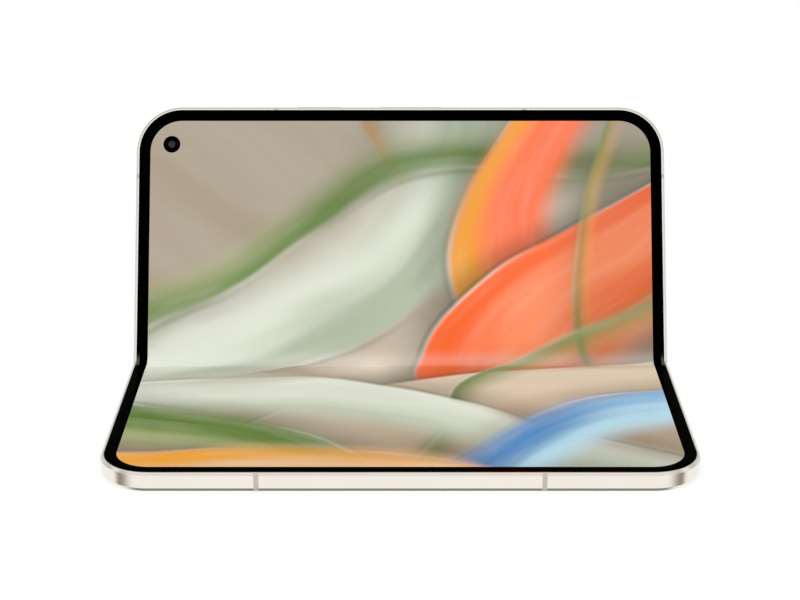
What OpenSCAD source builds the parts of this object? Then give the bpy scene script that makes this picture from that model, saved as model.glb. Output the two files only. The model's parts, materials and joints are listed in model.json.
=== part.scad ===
// Book-style folding phone, standing half open with one half lying on its back.
// Each half is drawn flat in a half frame: X along the hinge, Y outwards from the fold,
// Z = 0 on the display surface, and its back below. Three placements put it together:
// in_base (mirrored in Y, at rest), in_spine and in_lid, each turned by half of the bend.

/* [Body] */
// Length along the hinge
body_w = 155.2; // [145:0.1:170]
// Depth of one half, from the fold to its outer edge
half_d = 75.6; // [68:0.1:84]
// Thickness of one half, rim to back
body_t = 5.1; // [4.8:0.1:6]
// Radius of the outer corners
corner_r = 13.4; // [8:0.1:18]
// Angle between the two halves at rest, 180 when flat
open_angle = 116; // [60:1:175]

/* [Housing] */
// Width of the metal rim around the display
rim_w = 0.9; // [0.85:0.05:1.4]
// Height of the rim above the display surface
rim_lift = 0.15; // [0.05:0.05:0.3]
// Width of the chamfers along the rim and the back, seen from above
edge_in = 0.6; // [0.2:0.05:0.7]
// Height of the chamfer below the rim
edge_down = 0.7; // [0.3:0.05:1]
// Height of the chamfer above the back
edge_up = 1; // [0.3:0.05:1.3]
// Thickness of the side walls
wall_t = 2.6; // [2:0.1:3.5]
// Thickness of the plate behind the display
mid_plate_t = 0.6; // [0.4:0.05:0.8]
// Thickness of the back glass and of the cover glass
glass_t = 0.7; // [0.5:0.05:0.9]
// Width of each antenna band
band_w = 1.3; // [0.8:0.1:2]
// Distance of the outer-edge antenna bands from the middle
band_x = 36.5; // [25:0.5:50]
// Distance of the side antenna bands from the fold
band_y = 55; // [48:0.5:60]

/* [Display] */
// Thickness of the folding display stack
display_t = 0.6; // [0.4:0.05:0.8]
// Width of the black border around the picture
border_w = 3.25; // [2:0.05:4.5]
// Thickness of the border film
border_t = 0.12; // [0.08:0.01:0.15]
// Half-length of the stretch of display that bends
bend_len = 7.35; // [7:0.05:9]
// Radius of the hole for the inner camera
punch_r = 2.55; // [1.8:0.05:3]
// Inner camera, distance from the middle
inner_cam_x = 67.2; // [60:0.1:69]
// Inner camera, distance from the outer edge
inner_cam_edge = 11.0; // [9:0.1:16]

/* [Hinge] */
// Distance of each fold axis from the middle of the spine
axis_y = 1.275; // [1.2:0.005:1.4]
// Height of the fold axes, measured from the flat display surface
axis_z = -0.925; // [-1.0:0.005:-0.9]
// Outer radius of the spine cover
spine_r = 3.275; // [3.2:0.005:3.3]
// Wall of the spine cover
spine_t = 0.45; // [0.3:0.01:0.5]
// Distance of the guide stations from the middle
guide_x = 52; // [40:1:60]
// Width of one guide rotor
rotor_w = 4; // [3:0.1:6]
// Width of one toothed rotor
sync_w = 2.2; // [1.6:0.1:3]
// Teeth of each small gear
gear_teeth = 12; // [12:1:12]
// Size of the gear teeth (pitch diameter per tooth)
gear_module = 0.12; // [0.11:0.005:0.125]
// Part of the half fold that the wing plates add
wing_ratio = 0.16; // [0.1:0.01:0.16]
// Thickness of the wing plates
wing_t = 0.4; // [0.3:0.05:0.45]

/* [Controls and ports] */
// Length of the power button
power_len = 13.3; // [10:0.1:16]
// Middle of the power button
power_x = -23.95; // [-30:0.05:-20]
// Length of the volume rocker
volume_len = 18.3; // [15:0.1:22]
// Middle of the volume rocker
volume_x = 3.15; // [0:0.05:8]
// Height of the buttons across the rim
button_h = 2.2; // [1.6:0.1:2.6]
// How far the buttons stand out of the rim
button_out = 0.35; // [0.3:0.05:0.5]
// Play between the volume rocker's flange and the wall, for its rocking
rock_play = 0.25; // [0.22:0.01:0.35]
// Width of the charging socket's shell
port_w = 8.94; // [8.5:0.02:9.2]
// Height of the charging socket's shell
port_h = 3.16; // [2.9:0.02:3.2]
// Distance of the charging socket from the fold
port_y = 37.5; // [34:0.5:42]
// Width of the SIM tray
tray_w = 13; // [11:0.1:14]
// Thickness of the SIM tray's face
tray_h = 1.3; // [1.1:0.05:1.5]
// Distance of the SIM tray from the fold
tray_y = 31.5; // [28:0.5:36]
// Length of the SIM tray
tray_len = 21; // [18:0.5:24]

/* [Rear cameras] */
// Width of the camera island, along the hinge
island_w = 27; // [24:0.5:32]
// Length of the camera island, across the half
island_len = 56; // [50:0.5:60]
// Height of the camera island above the back
island_h = 2.4; // [1.5:0.1:3]
// Corner radius of the camera island
island_r = 12; // [6:0.5:13]
// Distance of the island's middle from the end of the phone
island_end = 22; // [20:0.5:26]
// Radius of the lens covers
lens_r = 6.2; // [5:0.1:6.6]
// Distance between lenses
lens_gap = 16; // [14.5:0.1:17]

/* [Fits] */
// Gap around the spine, between it and the halves
spine_gap = 0.1; // [0.08:0.01:0.12]
// Gap around pieces that are laid in or glued
seat_gap = 0.1; // [0.05:0.01:0.2]
// Radial clearance of shafts in their bores
shaft_gap = 0.05; // [0.02:0.01:0.08]
// Gap around the buttons and the tray
slide_gap = 0.1; // [0.08:0.01:0.15]
// Gap between the two halves at the fold
seam_gap = 0.1; // [0.06:0.01:0.2]

/* [Hidden] */

eps = 0.01;
arc_fn = 64;
// Radius of the small rounds along the chamfers
edge_round = 0.12;
half_bend = (180 - open_angle) / 2;

// Levels of one half, from the display surface down
rim_z = rim_lift;
back_z = rim_lift - body_t;
plate_top = -display_t;
plate_bottom = plate_top - mid_plate_t;
glass_top = back_z + glass_t;
lip_t = 0.6;

// Plan of one half
half_w = body_w / 2;
seat_x = half_w - rim_w;
cavity_x = half_w - wall_t;
cavity_edge = half_d - wall_t;
seam_y = seam_gap / 2;

// Spine: the halves' hollow, the ends of the spine and the display's room when shut
hollow_r = spine_r + spine_gap;
spine_in_r = spine_r - spine_t;
spine_end = seat_x - spine_gap;
end_cap_t = 0.8;
spine_bar = spine_end - end_cap_t;
spine_edge_z = axis_z - spine_r * sin(20);
notch_edge_z = axis_z - spine_r * sin(33);
bulge_r = 2.25;
bulge_z = 0.2;
inner_wall_y = axis_y + hollow_r + 1.55;

// Wing plates
pivot_y = 7.3;
pivot_z = plate_top - wing_t / 2;
wing_start = 2.2;
wing_tilt = wing_ratio * half_bend;
wing_swing = wing_ratio * 90 + 1;
wing_end = cavity_x - 0.2;
plate_start = pivot_y + 0.05;

// Rotors
track_gap = 0.1;
rotor_out_r = spine_in_r - track_gap;
rotor_in_r = rotor_out_r - 0.625;
core_r = rotor_in_r - track_gap;
rotor_from = -150;
rotor_to = -18;
cheek = 0.6;
block_half = rotor_w + cheek + 2.4;
foot_y = 11.5;
foot_t = 0.75;
foot_z = plate_bottom - foot_t;
screw_r = 0.5;
screw_head_r = 0.95;

// Gear train
gear_r = gear_teeth * gear_module / 2;
ring_teeth = 35;
ring_r = ring_teeth * gear_module / 2;
ring_root_r = ring_r + 1.0 * gear_module;
tip_r = gear_r + 0.75 * gear_module;
gear_room = tip_r + track_gap;
shaft_r = 0.3;
pinion_at = -60;
pinion_y = axis_y + (ring_r - gear_r) * cos(pinion_at);
pinion_z = axis_z + (ring_r - gear_r) * sin(pinion_at);
idler_y = gear_r;
idler_z = pinion_z - sqrt(pow(2 * gear_r, 2) - pow(pinion_y - idler_y, 2));
gear_half = 0.75;
gear_cheek = 0.8;
sync_from = gear_half + 0.05 + gear_cheek + track_gap;
sync_to = sync_from + sync_w;
sync_half = sync_to + track_gap + 1.2;
tooth_pitch = 360 / gear_teeth;
lid_mesh = atan2(idler_z - pinion_z, idler_y - pinion_y);

// Rear cameras
island_x = -half_w + island_end;
island_y = half_d / 2 + 0.6;
// Width of the rim that holds each lens cover, and its depth
lens_lip = 0.8;
// Width of each rear camera behind its barrel
camera_w = 10.4;
// Place and radius of the flash
flash_x = island_x + 9.2;
flash_r = 1.75;
neck_in = 2;

// Layout inside the halves
inner_start = 12.6;
inner_edge = cavity_edge - 2;
cover_panel_t = 0.5;
base_floor = glass_top + cover_panel_t + 0.1;
button_z = (rim_z + back_z) / 2 - 0.1;
port_z = glass_top + port_h / 2 + 0.12;
tray_z = base_floor + 0.9;
flex_y = cavity_edge - 1.55;
key_flange_t = 0.45;
key_flange_out = 0.6;
rib_r = 0.85;
rock_y = cavity_edge - 0.5;
board_top = plate_bottom - 0.5;
board_bottom = board_top - 0.6;
hole_pitch = 1.7;
hole_r = 0.5;

// Flat cable between the halves
flex_x = 27;
flex_w = 8;
flex_t = 0.15;
flex_door_z = -2.75;

// Tooth phases at rest: each gear's gap faces its neighbour's tooth
function meshed(phase, line) = line + 180 - (phase - line) + tooth_pitch / 2;
pinion_phase = lid_mesh;
lid_idler_phase = meshed(pinion_phase, lid_mesh);
base_idler_phase = meshed(lid_idler_phase, 180);
base_pinion_phase = meshed(base_idler_phase, 180 - (lid_mesh + 180));
function ring_gap(phase, line) = line + (phase - line) * gear_teeth / ring_teeth;
lid_ring_phase = ring_gap(pinion_phase, pinion_at) - half_bend;
base_ring_phase = 180 - ring_gap(base_pinion_phase, 180 - pinion_at) - half_bend;

// A point turned about the origin, and a lid point seen from the spine, in (y, z)
function turned(p, a) = [p[0] * cos(a) - p[1] * sin(a), p[0] * sin(a) + p[1] * cos(a)];
function lid_point(p) = turned(p - [axis_y, axis_z], half_bend) + [axis_y, axis_z];
// Point at a radius and an angle about the fold axis, in (y, z)
function about_axis(r, angle) = [axis_y + r * cos(angle), axis_z + r * sin(angle)];

// Folded stretch of display: its thickness, and the wing plate's top inner edge at rest
fold_t = 0.45;
fold_gap = 0.05;
fold_end = spine_bar - 0.1;
wing_tip = turned([wing_start - pivot_y, wing_t / 2], wing_tilt) + [pivot_y, pivot_z];
fold_tip = lid_point(wing_tip);

// Route of the flat cable from the lid's door to the middle of the trough, in (y, z)
flex_in_z = flex_door_z + 0.45;
flex_r = 2.5;
flex_run = [lid_point([9, flex_in_z]), lid_point([5, flex_in_z]), about_axis(flex_r + 0.45, -10),
    about_axis(flex_r, -28), about_axis(flex_r, -60), about_axis(flex_r + 0.05, -90)];
flex_path = concat(flex_run,
    [for (i = [len(flex_run) - 1 : -1 : 0]) [-flex_run[i][0], flex_run[i][1]]]);

// A child turned about an axis along X through (y, z)
module turn(y, z, angle) {
    translate([0, y, z]) rotate([angle, 0, 0]) translate([0, -y, -z]) children();
}

module in_base() {
    translate([0, half_d / 2, -back_z]) mirror([0, 1, 0]) children();
}

module in_spine() {
    translate([0, half_d / 2, -back_z]) turn(-axis_y, axis_z, half_bend) children();
}

module in_lid() {
    in_spine() turn(axis_y, axis_z, half_bend) children();
}

// A profile drawn in (y, z) and run along X
module along_x(x0, x1) {
    translate([x0, 0, 0]) rotate([90, 0, 90]) linear_extrude(x1 - x0) children();
}

module box(x0, x1, y0, y1, z0, z1) {
    translate([x0, y0, z0]) cube([x1 - x0, y1 - y0, z1 - z0]);
}

module both_ends() {
    children();
    mirror([1, 0, 0]) children();
}

module rounded(w, h, r) {
    translate([-w / 2 + r, -h / 2]) square([w - 2 * r, h]);
    translate([-w / 2, -h / 2 + r]) square([w, h - 2 * r]);
    for (sx = [-1, 1], sy = [-1, 1])
        translate([sx * (w / 2 - r), sy * (h / 2 - r)]) circle(r, $fn = arc_fn);
}

module rounded_box(x0, x1, y0, y1, z0, z1, r) {
    translate([(x0 + x1) / 2, (y0 + y1) / 2, z0])
        linear_extrude(z1 - z0) rounded(x1 - x0, y1 - y0, r);
}

// Plan of one half, drawn in from its outer edge
module half_plan(inset, from) {
    r = corner_r - inset;
    w = half_w - inset;
    translate([-w, from]) square([2 * w, half_d - corner_r - from]);
    translate([-w + r, half_d - corner_r - eps]) square([2 * (w - r), r + eps]);
    for (s = [-1, 1])
        translate([s * (w - r), half_d - corner_r]) circle(r, $fn = arc_fn);
}

module half_plate(inset, from, z0, z1) {
    translate([0, 0, z0]) linear_extrude(z1 - z0) half_plan(inset, from);
}

// Section of the side wall: X is outwards from the outer face, Y is height
// A chamfer w wide and h high in the outer upper corner of a wall, in (outwards, up) from that
// corner: its line's normal, then the centres of the small rounds at its two ends
function slope(w, h) = [h, w] / norm([h, w]);
function slope_reach(w, h) = -slope(w, h).x * w - edge_round;
function side_round(w, h) =
    [-edge_round, (slope_reach(w, h) + slope(w, h).x * edge_round) / slope(w, h).y];
function top_round(w, h) =
    [(slope_reach(w, h) + slope(w, h).y * edge_round) / slope(w, h).x, -edge_round];

// The outer half of a wall's section, from its chamfered corner at the origin down to -h_all
module chamfered_half(w, h, h_all) {
    side = side_round(w, h);
    top = top_round(w, h);
    n = slope(w, h) * edge_round;
    polygon([[-wall_t, -h_all], [0, -h_all], [0, side.y], side + n, top + n, [top.x, 0], [-wall_t, 0]]);
    translate(side) circle(edge_round, $fn = arc_fn);
    translate(top) circle(edge_round, $fn = arc_fn);
}

module wall_section() {
    difference() {
        union() {
            translate([0, rim_z]) chamfered_half(edge_in, edge_down, body_t / 2 + eps);
            translate([0, back_z]) mirror([0, 1]) chamfered_half(edge_in, edge_up, body_t / 2);
        }
        translate([-wall_t - 1, plate_top]) square([wall_t + 1 - rim_w, 2]);
        translate([-wall_t - 1, back_z - 1]) square([wall_t + 1 - rim_w, 1 + glass_t]);
    }
}

module walls() {
    run = half_d - corner_r;
    both_ends() {
        translate([half_w, run, 0]) rotate([90, 0, 0]) linear_extrude(run - seam_y) wall_section();
        translate([half_w - corner_r, run, 0])
            rotate_extrude(angle = 90, $fn = 128) translate([corner_r, 0]) wall_section();
    }
    along_x(-half_w + corner_r, half_w - corner_r) translate([half_d, 0]) wall_section();
}

// Room for the spine, the wing plates and the shut display, in (y, z)
module fold_room() {
    translate([axis_y, axis_z]) circle(hollow_r, $fn = 96);
    translate([-2, -spine_r + axis_z - spine_gap]) square([2 + axis_y, 8]);
    drop = tan(wing_swing);
    under = plate_top - wing_t - 0.12;
    polygon([[-2, 2], [plate_start, 2], [plate_start, under], [pivot_y - 0.3, under],
        [-2, under - (pivot_y + 1.7) * drop]]);
}

// The rim's rounded end beside the fold, which lets the halves pass each other
module rim_end_cut() {
    nose = axis_y - seam_y;
    difference() {
        translate([-2, axis_z]) square([2 + axis_y, 3]);
        translate([axis_y, axis_z]) circle(nose, $fn = arc_fn);
    }
}

// Places of the antenna bands: on the outer edge and on each end
module at_bands() {
    for (s = [-1, 1])
        along_x(s * band_x - band_w / 2, s * band_x + band_w / 2)
            translate([half_d, 0]) children();
    both_ends()
        translate([half_w, band_y + band_w / 2, 0]) rotate([90, 0, 0])
            linear_extrude(band_w) children();
}

module at_rotor_screws() {
    for (x = [-guide_x + cheek + rotor_w / 2, guide_x + cheek + rotor_w / 2,
        (sync_from + sync_to) / 2])
        translate([x, foot_y - 1.6, 0]) children();
}

module housing() {
    difference() {
        union() {
            walls();
            half_plate(wall_t - 0.4, plate_start, plate_bottom, plate_top);
            box(-seat_x, seat_x, seam_y, inner_wall_y, back_z, back_z + lip_t);
            box(-seat_x, seat_x, 3, inner_wall_y, back_z, plate_bottom);
        }
        along_x(-seat_x, seat_x) fold_room();
        along_x(-half_w - 1, half_w + 1) rim_end_cut();
        along_x(-wing_end - 0.2, wing_end + 0.2)
            translate([pivot_y, pivot_z]) circle(wing_t / 2 + 0.05, $fn = arc_fn);
        for (x = [-guide_x + cheek, guide_x + cheek])
            box(x - 0.15, x + rotor_w + 0.15, 3, foot_y - 3, foot_z - 0.8, plate_bottom);
        box(sync_from - 0.15, sync_to + 0.15, 3, foot_y - 3, foot_z - 0.8, plate_bottom);
        flex_doors() square([4, 0.9]);
        at_rotor_screws() translate([0, 0, plate_bottom - 1]) cylinder(r = screw_r, h = 3, $fn = 24);
        at_bands() wall_section();
    }
}

module flex_doors() {
    for (s = [-1, 1])
        along_x(s * flex_x - flex_w / 2 - 0.2, s * flex_x + flex_w / 2 + 0.2)
            translate([3.4, flex_door_z]) children();
}

// A row of sound holes through one end wall
module sound_holes(y, count) {
    for (i = [0 : count - 1])
        translate([half_w - wall_t - 1, y + (i - (count - 1) / 2) * hole_pitch, button_z])
            rotate([0, 90, 0]) cylinder(r = hole_r, h = wall_t + 2, $fn = 24);
}

module button_slot(x, len) {
    translate([x, half_d - wall_t - 1, button_z]) rotate([-90, 0, 0])
        linear_extrude(wall_t + 2)
            rounded(len + 2 * slide_gap, button_h + 2 * slide_gap, button_h / 2 + slide_gap - eps);
}

module base_frame() {
    color("gainsboro") in_base() difference() {
        mirror([1, 0, 0]) housing();
        translate([cavity_x - 1, tray_y, tray_z]) rotate([90, 0, 90])
            linear_extrude(wall_t + 2) rounded(tray_w + 2 * slide_gap, tray_h + 2 * slide_gap, 0.6);
        translate([cavity_x - 1, tray_y + tray_w / 2 + 2.2, tray_z]) rotate([0, 90, 0])
            cylinder(r = 0.45, h = wall_t + 2, $fn = 24);
        mirror([1, 0, 0]) sound_holes(36, 6);
    }
}

module base_antenna_bands() {
    color("silver") in_base() at_bands() wall_section();
}

module cover_glass() {
    color("black") in_base()
        half_plate(rim_w + seat_gap, inner_wall_y + seat_gap, back_z, glass_top);
}

module cover_display() {
    color("midnightblue") in_base()
        half_plate(wall_t + 2, inner_wall_y + 2, glass_top, glass_top + cover_panel_t);
}

module cover_camera() {
    color("dimgray") in_base() translate([-57, 41, base_floor]) {
        cylinder(r = 2.2, h = 0.6, $fn = 48);
        translate([-3, -3, 0.6]) cube([6, 6, 1.4]);
    }
}

module base_battery() {
    color("darkslategray") in_base()
        rounded_box(-52, 40, inner_start, inner_edge, base_floor, plate_bottom - 0.15, 2);
}

module sub_board() {
    color("seagreen") in_base() difference() {
        rounded_box(43, cavity_x - 1.5, inner_start, 55, plate_bottom - 0.55, plate_bottom - 0.1, 1);
        for (y = [16, 51]) translate([47, y, -4]) cylinder(r = screw_r, h = 4, $fn = 24);
    }
}

module sub_board_shield() {
    color("silver") in_base() difference() {
        box(44, 53.5, 22, 48, plate_bottom - 1.75, plate_bottom - 0.55);
        box(44.2, 53.3, 22.2, 47.8, plate_bottom - 1.55, plate_bottom - 0.5);
    }
}

module sim_reader() {
    cage = 0.3;
    color("silver") in_base() difference() {
        box(half_w - tray_len, cavity_x, tray_y - tray_w / 2 - cage - 0.1,
            tray_y + tray_w / 2 + cage + 0.1, tray_z - tray_h / 2 - 0.22, tray_z + tray_h / 2 + 0.22);
        box(half_w - tray_len + cage, cavity_x + 1, tray_y - tray_w / 2 - 0.1,
            tray_y + tray_w / 2 + 0.1, tray_z - tray_h / 2 - 0.07, tray_z + tray_h / 2 + 0.07);
    }
}

module vibration_motor() {
    color("lightgray") in_base()
        rounded_box(-73, -61, inner_start + 1, inner_start + 13, base_floor, plate_bottom - 0.1, 1.5);
}

module earpiece_speaker() {
    color("dimgray") in_base()
        rounded_box(-cavity_x + 0.5, -61.5, 28, 46, base_floor, plate_bottom - 0.1, 1);
}

module half_display() {
    half_plate(rim_w + seat_gap, bend_len, plate_top, 0);
}

module half_border() {
    difference() {
        half_plate(rim_w + seat_gap, bend_len, 0, border_t);
        half_plate(rim_w + border_w, bend_len - 1, -1, 1);
    }
}

module base_display() {
    color("tan") in_base() half_display();
}

module base_border() {
    color("black") in_base() half_border();
}

// Curved rail that turns about the fold axis, and the arm and foot that carry it
module rotor(x0, x1, inner_r) {
    mid_r = (rotor_in_r + rotor_out_r) / 2;
    along_x(x0, x1) difference() {
        translate([axis_y, axis_z]) circle(rotor_out_r, $fn = 96);
        translate([axis_y, axis_z]) circle(inner_r, $fn = 96);
        polygon([[axis_y, axis_z], about_axis(20, rotor_to), [20, 20], [-20, 20],
            about_axis(20, rotor_from)]);
    }
    along_x(x0, x1)
        polygon([about_axis(mid_r, rotor_to - 6), [pivot_y - 0.9, plate_bottom - 0.02],
            [pivot_y - 0.6, plate_bottom], [foot_y, plate_bottom], [foot_y, foot_z],
            [pivot_y - 1.6, foot_z], about_axis(mid_r, rotor_to - 20)]);
}

module screw_holes() {
    at_rotor_screws() translate([0, 0, foot_z - 1]) cylinder(r = screw_r, h = 3, $fn = 24);
}

module guide_rotors() {
    difference() {
        for (x = [-guide_x + cheek, guide_x + cheek])
            rotor(x, x + rotor_w, rotor_in_r);
        screw_holes();
    }
}

// Rotor with gear teeth on its inner face
module sync_rotor(phase) {
    difference() {
        rotor(sync_from, sync_to, ring_r - 0.75 * gear_module);
        along_x(sync_from - 1, sync_to + 1) translate([axis_y, axis_z])
            for (i = [0 : ring_teeth - 1])
                rotate(phase + i * 360 / ring_teeth)
                    if (abs(ring_window(phase + i * 360 / ring_teeth)) < 56)
                        tooth_gap();
        screw_holes();
    }
}

// Angle from the middle of the toothed stretch, between -180 and 180
function ring_window(angle) = ((angle + 96 + 540) % 360) - 180;

module tooth_gap() {
    w = PI * gear_module;
    polygon([[ring_r - 1.4 * gear_module, -0.46 * w], [ring_root_r, -0.17 * w],
        [ring_root_r, 0.17 * w], [ring_r - 1.4 * gear_module, 0.46 * w]]);
}

module base_guide_rotors() {
    color("silver") in_base() mirror([1, 0, 0]) guide_rotors();
}

module base_sync_rotor() {
    color("silver") in_base() mirror([1, 0, 0]) sync_rotor(base_ring_phase);
}

module rotor_screws() {
    at_rotor_screws() {
        translate([0, 0, foot_z]) cylinder(r = screw_r, h = foot_t + mid_plate_t - 0.1, $fn = 24);
        translate([0, 0, foot_z - 0.35]) cylinder(r = screw_head_r, h = 0.35, $fn = 32);
    }
}

module base_rotor_screws() {
    color("dimgray") in_base() mirror([1, 0, 0]) rotor_screws();
}

module sim_tray() {
    color("gainsboro") in_base() difference() {
        translate([half_w - tray_len + 0.5, tray_y, tray_z]) rotate([90, 0, 90])
            linear_extrude(tray_len - 0.55) rounded(tray_w, tray_h, 0.5);
        box(half_w - tray_len + 2, half_w - wall_t - 2, tray_y - tray_w / 2 + 1,
            tray_y + tray_w / 2 - 1, tray_z - 0.2, tray_z + 2);
    }
}

module wing() {
    tilt = wing_tilt;
    turn(pivot_y, pivot_z, tilt) difference() {
        along_x(-wing_end, wing_end) {
            translate([wing_start, pivot_z - wing_t / 2]) square([pivot_y - wing_start, wing_t]);
            translate([pivot_y, pivot_z]) circle(wing_t / 2, $fn = 48);
        }
        for (x = [-guide_x + cheek, guide_x + cheek])
            box(x - 0.3, x + rotor_w + 0.3, wing_start - 1, pivot_y - 0.45, -2, 0);
        box(sync_from - 0.3, sync_to + 0.3, wing_start - 1, pivot_y - 0.45, -2, 0);
    }
}

module base_wing() {
    color("lightgray") in_base() mirror([1, 0, 0]) wing();
}

// Outline that both spine arcs share, at a given radius, in (y, z)
module spine_outline(r) {
    for (s = [-1, 1]) translate([s * axis_y, axis_z]) circle(r, $fn = 96);
    translate([-axis_y, axis_z - r]) square([2 * axis_y, r]);
}

module below(z) {
    translate([-10, z - 20]) square([20, 20]);
}

module spine_cover() {
    color("gainsboro") in_spine() difference() {
        along_x(-spine_bar, spine_bar) difference() {
            intersection() {
                spine_outline(spine_r);
                below(spine_edge_z);
            }
            spine_outline(spine_in_r);
        }
        rotor_notches();
        mirror([0, 1, 0]) mirror([1, 0, 0]) rotor_notches();
        at_block_screws() translate([0, 0, axis_z - spine_in_r - 0.25])
            cylinder(r = 0.4, h = 1, $fn = 24);
    }
}

module rotor_notches() {
    for (x = [-guide_x + cheek, guide_x + cheek])
        box(x - 0.2, x + rotor_w + 0.2, axis_y, 10, notch_edge_z, 1);
    box(sync_from - 0.2, sync_to + 0.2, axis_y, 10, notch_edge_z, 1);
}

module spine_end_caps() {
    color("dimgray") in_spine() both_ends() along_x(spine_bar, spine_end) intersection() {
        spine_outline(spine_r);
        below(-0.35);
    }
}

module at_block_screws() {
    for (x = [-guide_x, guide_x], s = [-1, 1])
        translate([x + s * (block_half - 1.2), 0, 0]) children();
    for (s = [-1, 1]) translate([s * (sync_half - 0.6), 0, 0]) children();
}

module block_body(x0, x1) {
    along_x(x0, x1) difference() {
        intersection() {
            spine_outline(spine_in_r);
            below(-1.5);
        }
        translate([0, bulge_z]) circle(bulge_r, $fn = 96);
        for (s = [-1, 1]) translate([s * (axis_y + 3.9), -1]) circle(1.9, $fn = 48);
    }
}

module rotor_slot(x0, x1, inner_r) {
    along_x(x0, x1) translate([axis_y, axis_z]) difference() {
        circle(rotor_out_r + 0.2, $fn = 96);
        circle(inner_r, $fn = 96);
    }
}

module guide_blocks() {
    color("slategray") in_spine() difference() {
        for (x = [-guide_x, guide_x]) block_body(x - block_half, x + block_half);
        for (x = [-guide_x, guide_x]) {
            rotor_slot(x + cheek - 0.1, x + cheek + rotor_w + 0.1, core_r);
            mirror([0, 1, 0]) rotor_slot(x - cheek - rotor_w - 0.1, x - cheek + 0.1, core_r);
        }
        at_block_screws() block_screw_hole();
    }
}

module block_screw_hole() {
    translate([0, 0, -5]) cylinder(r = 0.4, h = 4, $fn = 24);
}

// Gear seats: pinion rooms reach their rotor, shafts end in the far cheek
module pinion_room(side) {
    far = gear_half + 0.05;
    translate([0, side * pinion_y, pinion_z]) rotate([0, side * 90, 0]) {
        translate([0, 0, -far]) cylinder(r = gear_room, h = far + sync_to + 0.1, $fn = 48);
        translate([0, 0, -far - gear_cheek]) cylinder(r = shaft_r + shaft_gap, h = 20, $fn = 32);
    }
}

module idler_room(side) {
    translate([0, side * idler_y, idler_z]) rotate([0, 90, 0]) {
        translate([0, 0, -gear_half - 0.05])
            cylinder(r = gear_room, h = 2 * gear_half + 0.1, $fn = 48);
        translate([0, 0, -gear_half - 0.75])
            cylinder(r = shaft_r + shaft_gap, h = 2 * gear_half + 1.5, $fn = 32);
    }
}

module sync_block() {
    color("slategray") in_spine() difference() {
        block_body(-sync_half, sync_half);
        rotor_slot(sync_from - 0.1, sync_to + 0.1, ring_r - 1.7 * gear_module);
        mirror([0, 1, 0]) rotor_slot(-sync_to - 0.1, -sync_from + 0.1, ring_r - 1.7 * gear_module);
        for (s = [-1, 1]) {
            pinion_room(s);
            idler_room(s);
        }
        at_block_screws() block_screw_hole();
    }
}

module block_screws() {
    head_z = bulge_z - bulge_r;
    color("dimgray") in_spine() at_block_screws() {
        translate([0, 0, axis_z - spine_in_r - 0.2])
            cylinder(r = 0.4, h = head_z - axis_z + spine_in_r + 0.2, $fn = 24);
    }
}

module friction_washers() {
    color("goldenrod") in_spine() for (s = [-1, 1], i = [0 : 2])
        translate([s * (sync_half + 0.05 + i * 0.3), s * pinion_y, pinion_z]) rotate([0, s * 90, 0])
            difference() {
                cylinder(r = 0.7, h = 0.2, $fn = 32);
                translate([0, 0, -1]) cylinder(r = shaft_r + shaft_gap, h = 3, $fn = 32);
            }
}

// Folded stretch of display at rest, in the spine's (y, z): an arc between two flats
module fold_band() {
    slope = half_bend + wing_tilt;
    reach = fold_tip[0] / sin(slope);
    mid = [0, fold_tip[1] + reach * cos(slope)];
    flat = (pivot_y - wing_start) * [cos(slope), sin(slope)];
    steps = 24;
    arc = [for (i = [0 : steps]) let (a = slope * (2 * i / steps - 1)) [sin(a), -cos(a)]];
    under = [for (d = arc) mid + (reach - fold_gap) * d];
    over = [for (i = [steps : -1 : 0]) mid + (reach - fold_gap - fold_t) * arc[i]];
    polygon(concat([under[0] + [-flat[0], flat[1]]], under, [under[steps] + flat],
        [over[0] + flat], over, [over[steps] + [-flat[0], flat[1]]]));
}

module display_fold() {
    color("tan") in_spine() along_x(-fold_end, fold_end) fold_band();
}

// Flat cable through the trough, from one half's door to the other's
module hinge_flex() {
    n = len(flex_path);
    color("darkorange") in_spine() for (s = [-1, 1])
        along_x(s * flex_x - flex_w / 2, s * flex_x + flex_w / 2)
            for (i = [0 : n - 2]) {
                step = flex_path[i + 1] - flex_path[i];
                translate(flex_path[i]) rotate(atan2(step[1], step[0]))
                    translate([0, -flex_t / 2]) square([norm(step), flex_t]);
                translate(flex_path[i + 1]) circle(flex_t / 2, $fn = 16);
            }
}

module gear_section(phase) {
    w = PI * gear_module;
    root = gear_r - 1.0 * gear_module;
    circle(root, $fn = 48);
    for (i = [0 : gear_teeth - 1])
        rotate(phase + i * tooth_pitch)
            polygon([[root - 0.1, -0.3 * w], [root, -0.29 * w], [gear_r, -0.19 * w],
                [tip_r, -0.09 * w], [tip_r, 0.09 * w], [gear_r, 0.19 * w],
                [root, 0.29 * w], [root - 0.1, 0.3 * w]]);
}

module pinion(side, phase) {
    x0 = side > 0 ? -gear_half : -sync_to;
    x1 = side > 0 ? sync_to : gear_half;
    s0 = side > 0 ? -gear_half - gear_cheek + 0.05 : -sync_half - 1;
    s1 = side > 0 ? sync_half + 1 : gear_half + gear_cheek - 0.05;
    along_x(x0, x1) translate([side * pinion_y, pinion_z]) gear_section(phase);
    along_x(s0, s1) translate([side * pinion_y, pinion_z]) circle(shaft_r, $fn = 32);
}

module idler(side, phase) {
    along_x(-gear_half, gear_half) translate([side * idler_y, idler_z]) gear_section(phase);
    along_x(-gear_half - 0.7, gear_half + 0.7)
        translate([side * idler_y, idler_z]) circle(shaft_r, $fn = 32);
}

module base_pinion() {
    color("gold") in_spine() pinion(-1, base_pinion_phase);
}

module base_idler() {
    color("khaki") in_spine() idler(-1, base_idler_phase);
}

module lid_idler() {
    color("khaki") in_spine() idler(1, lid_idler_phase);
}

module lid_pinion() {
    color("gold") in_spine() pinion(1, pinion_phase);
}

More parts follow.
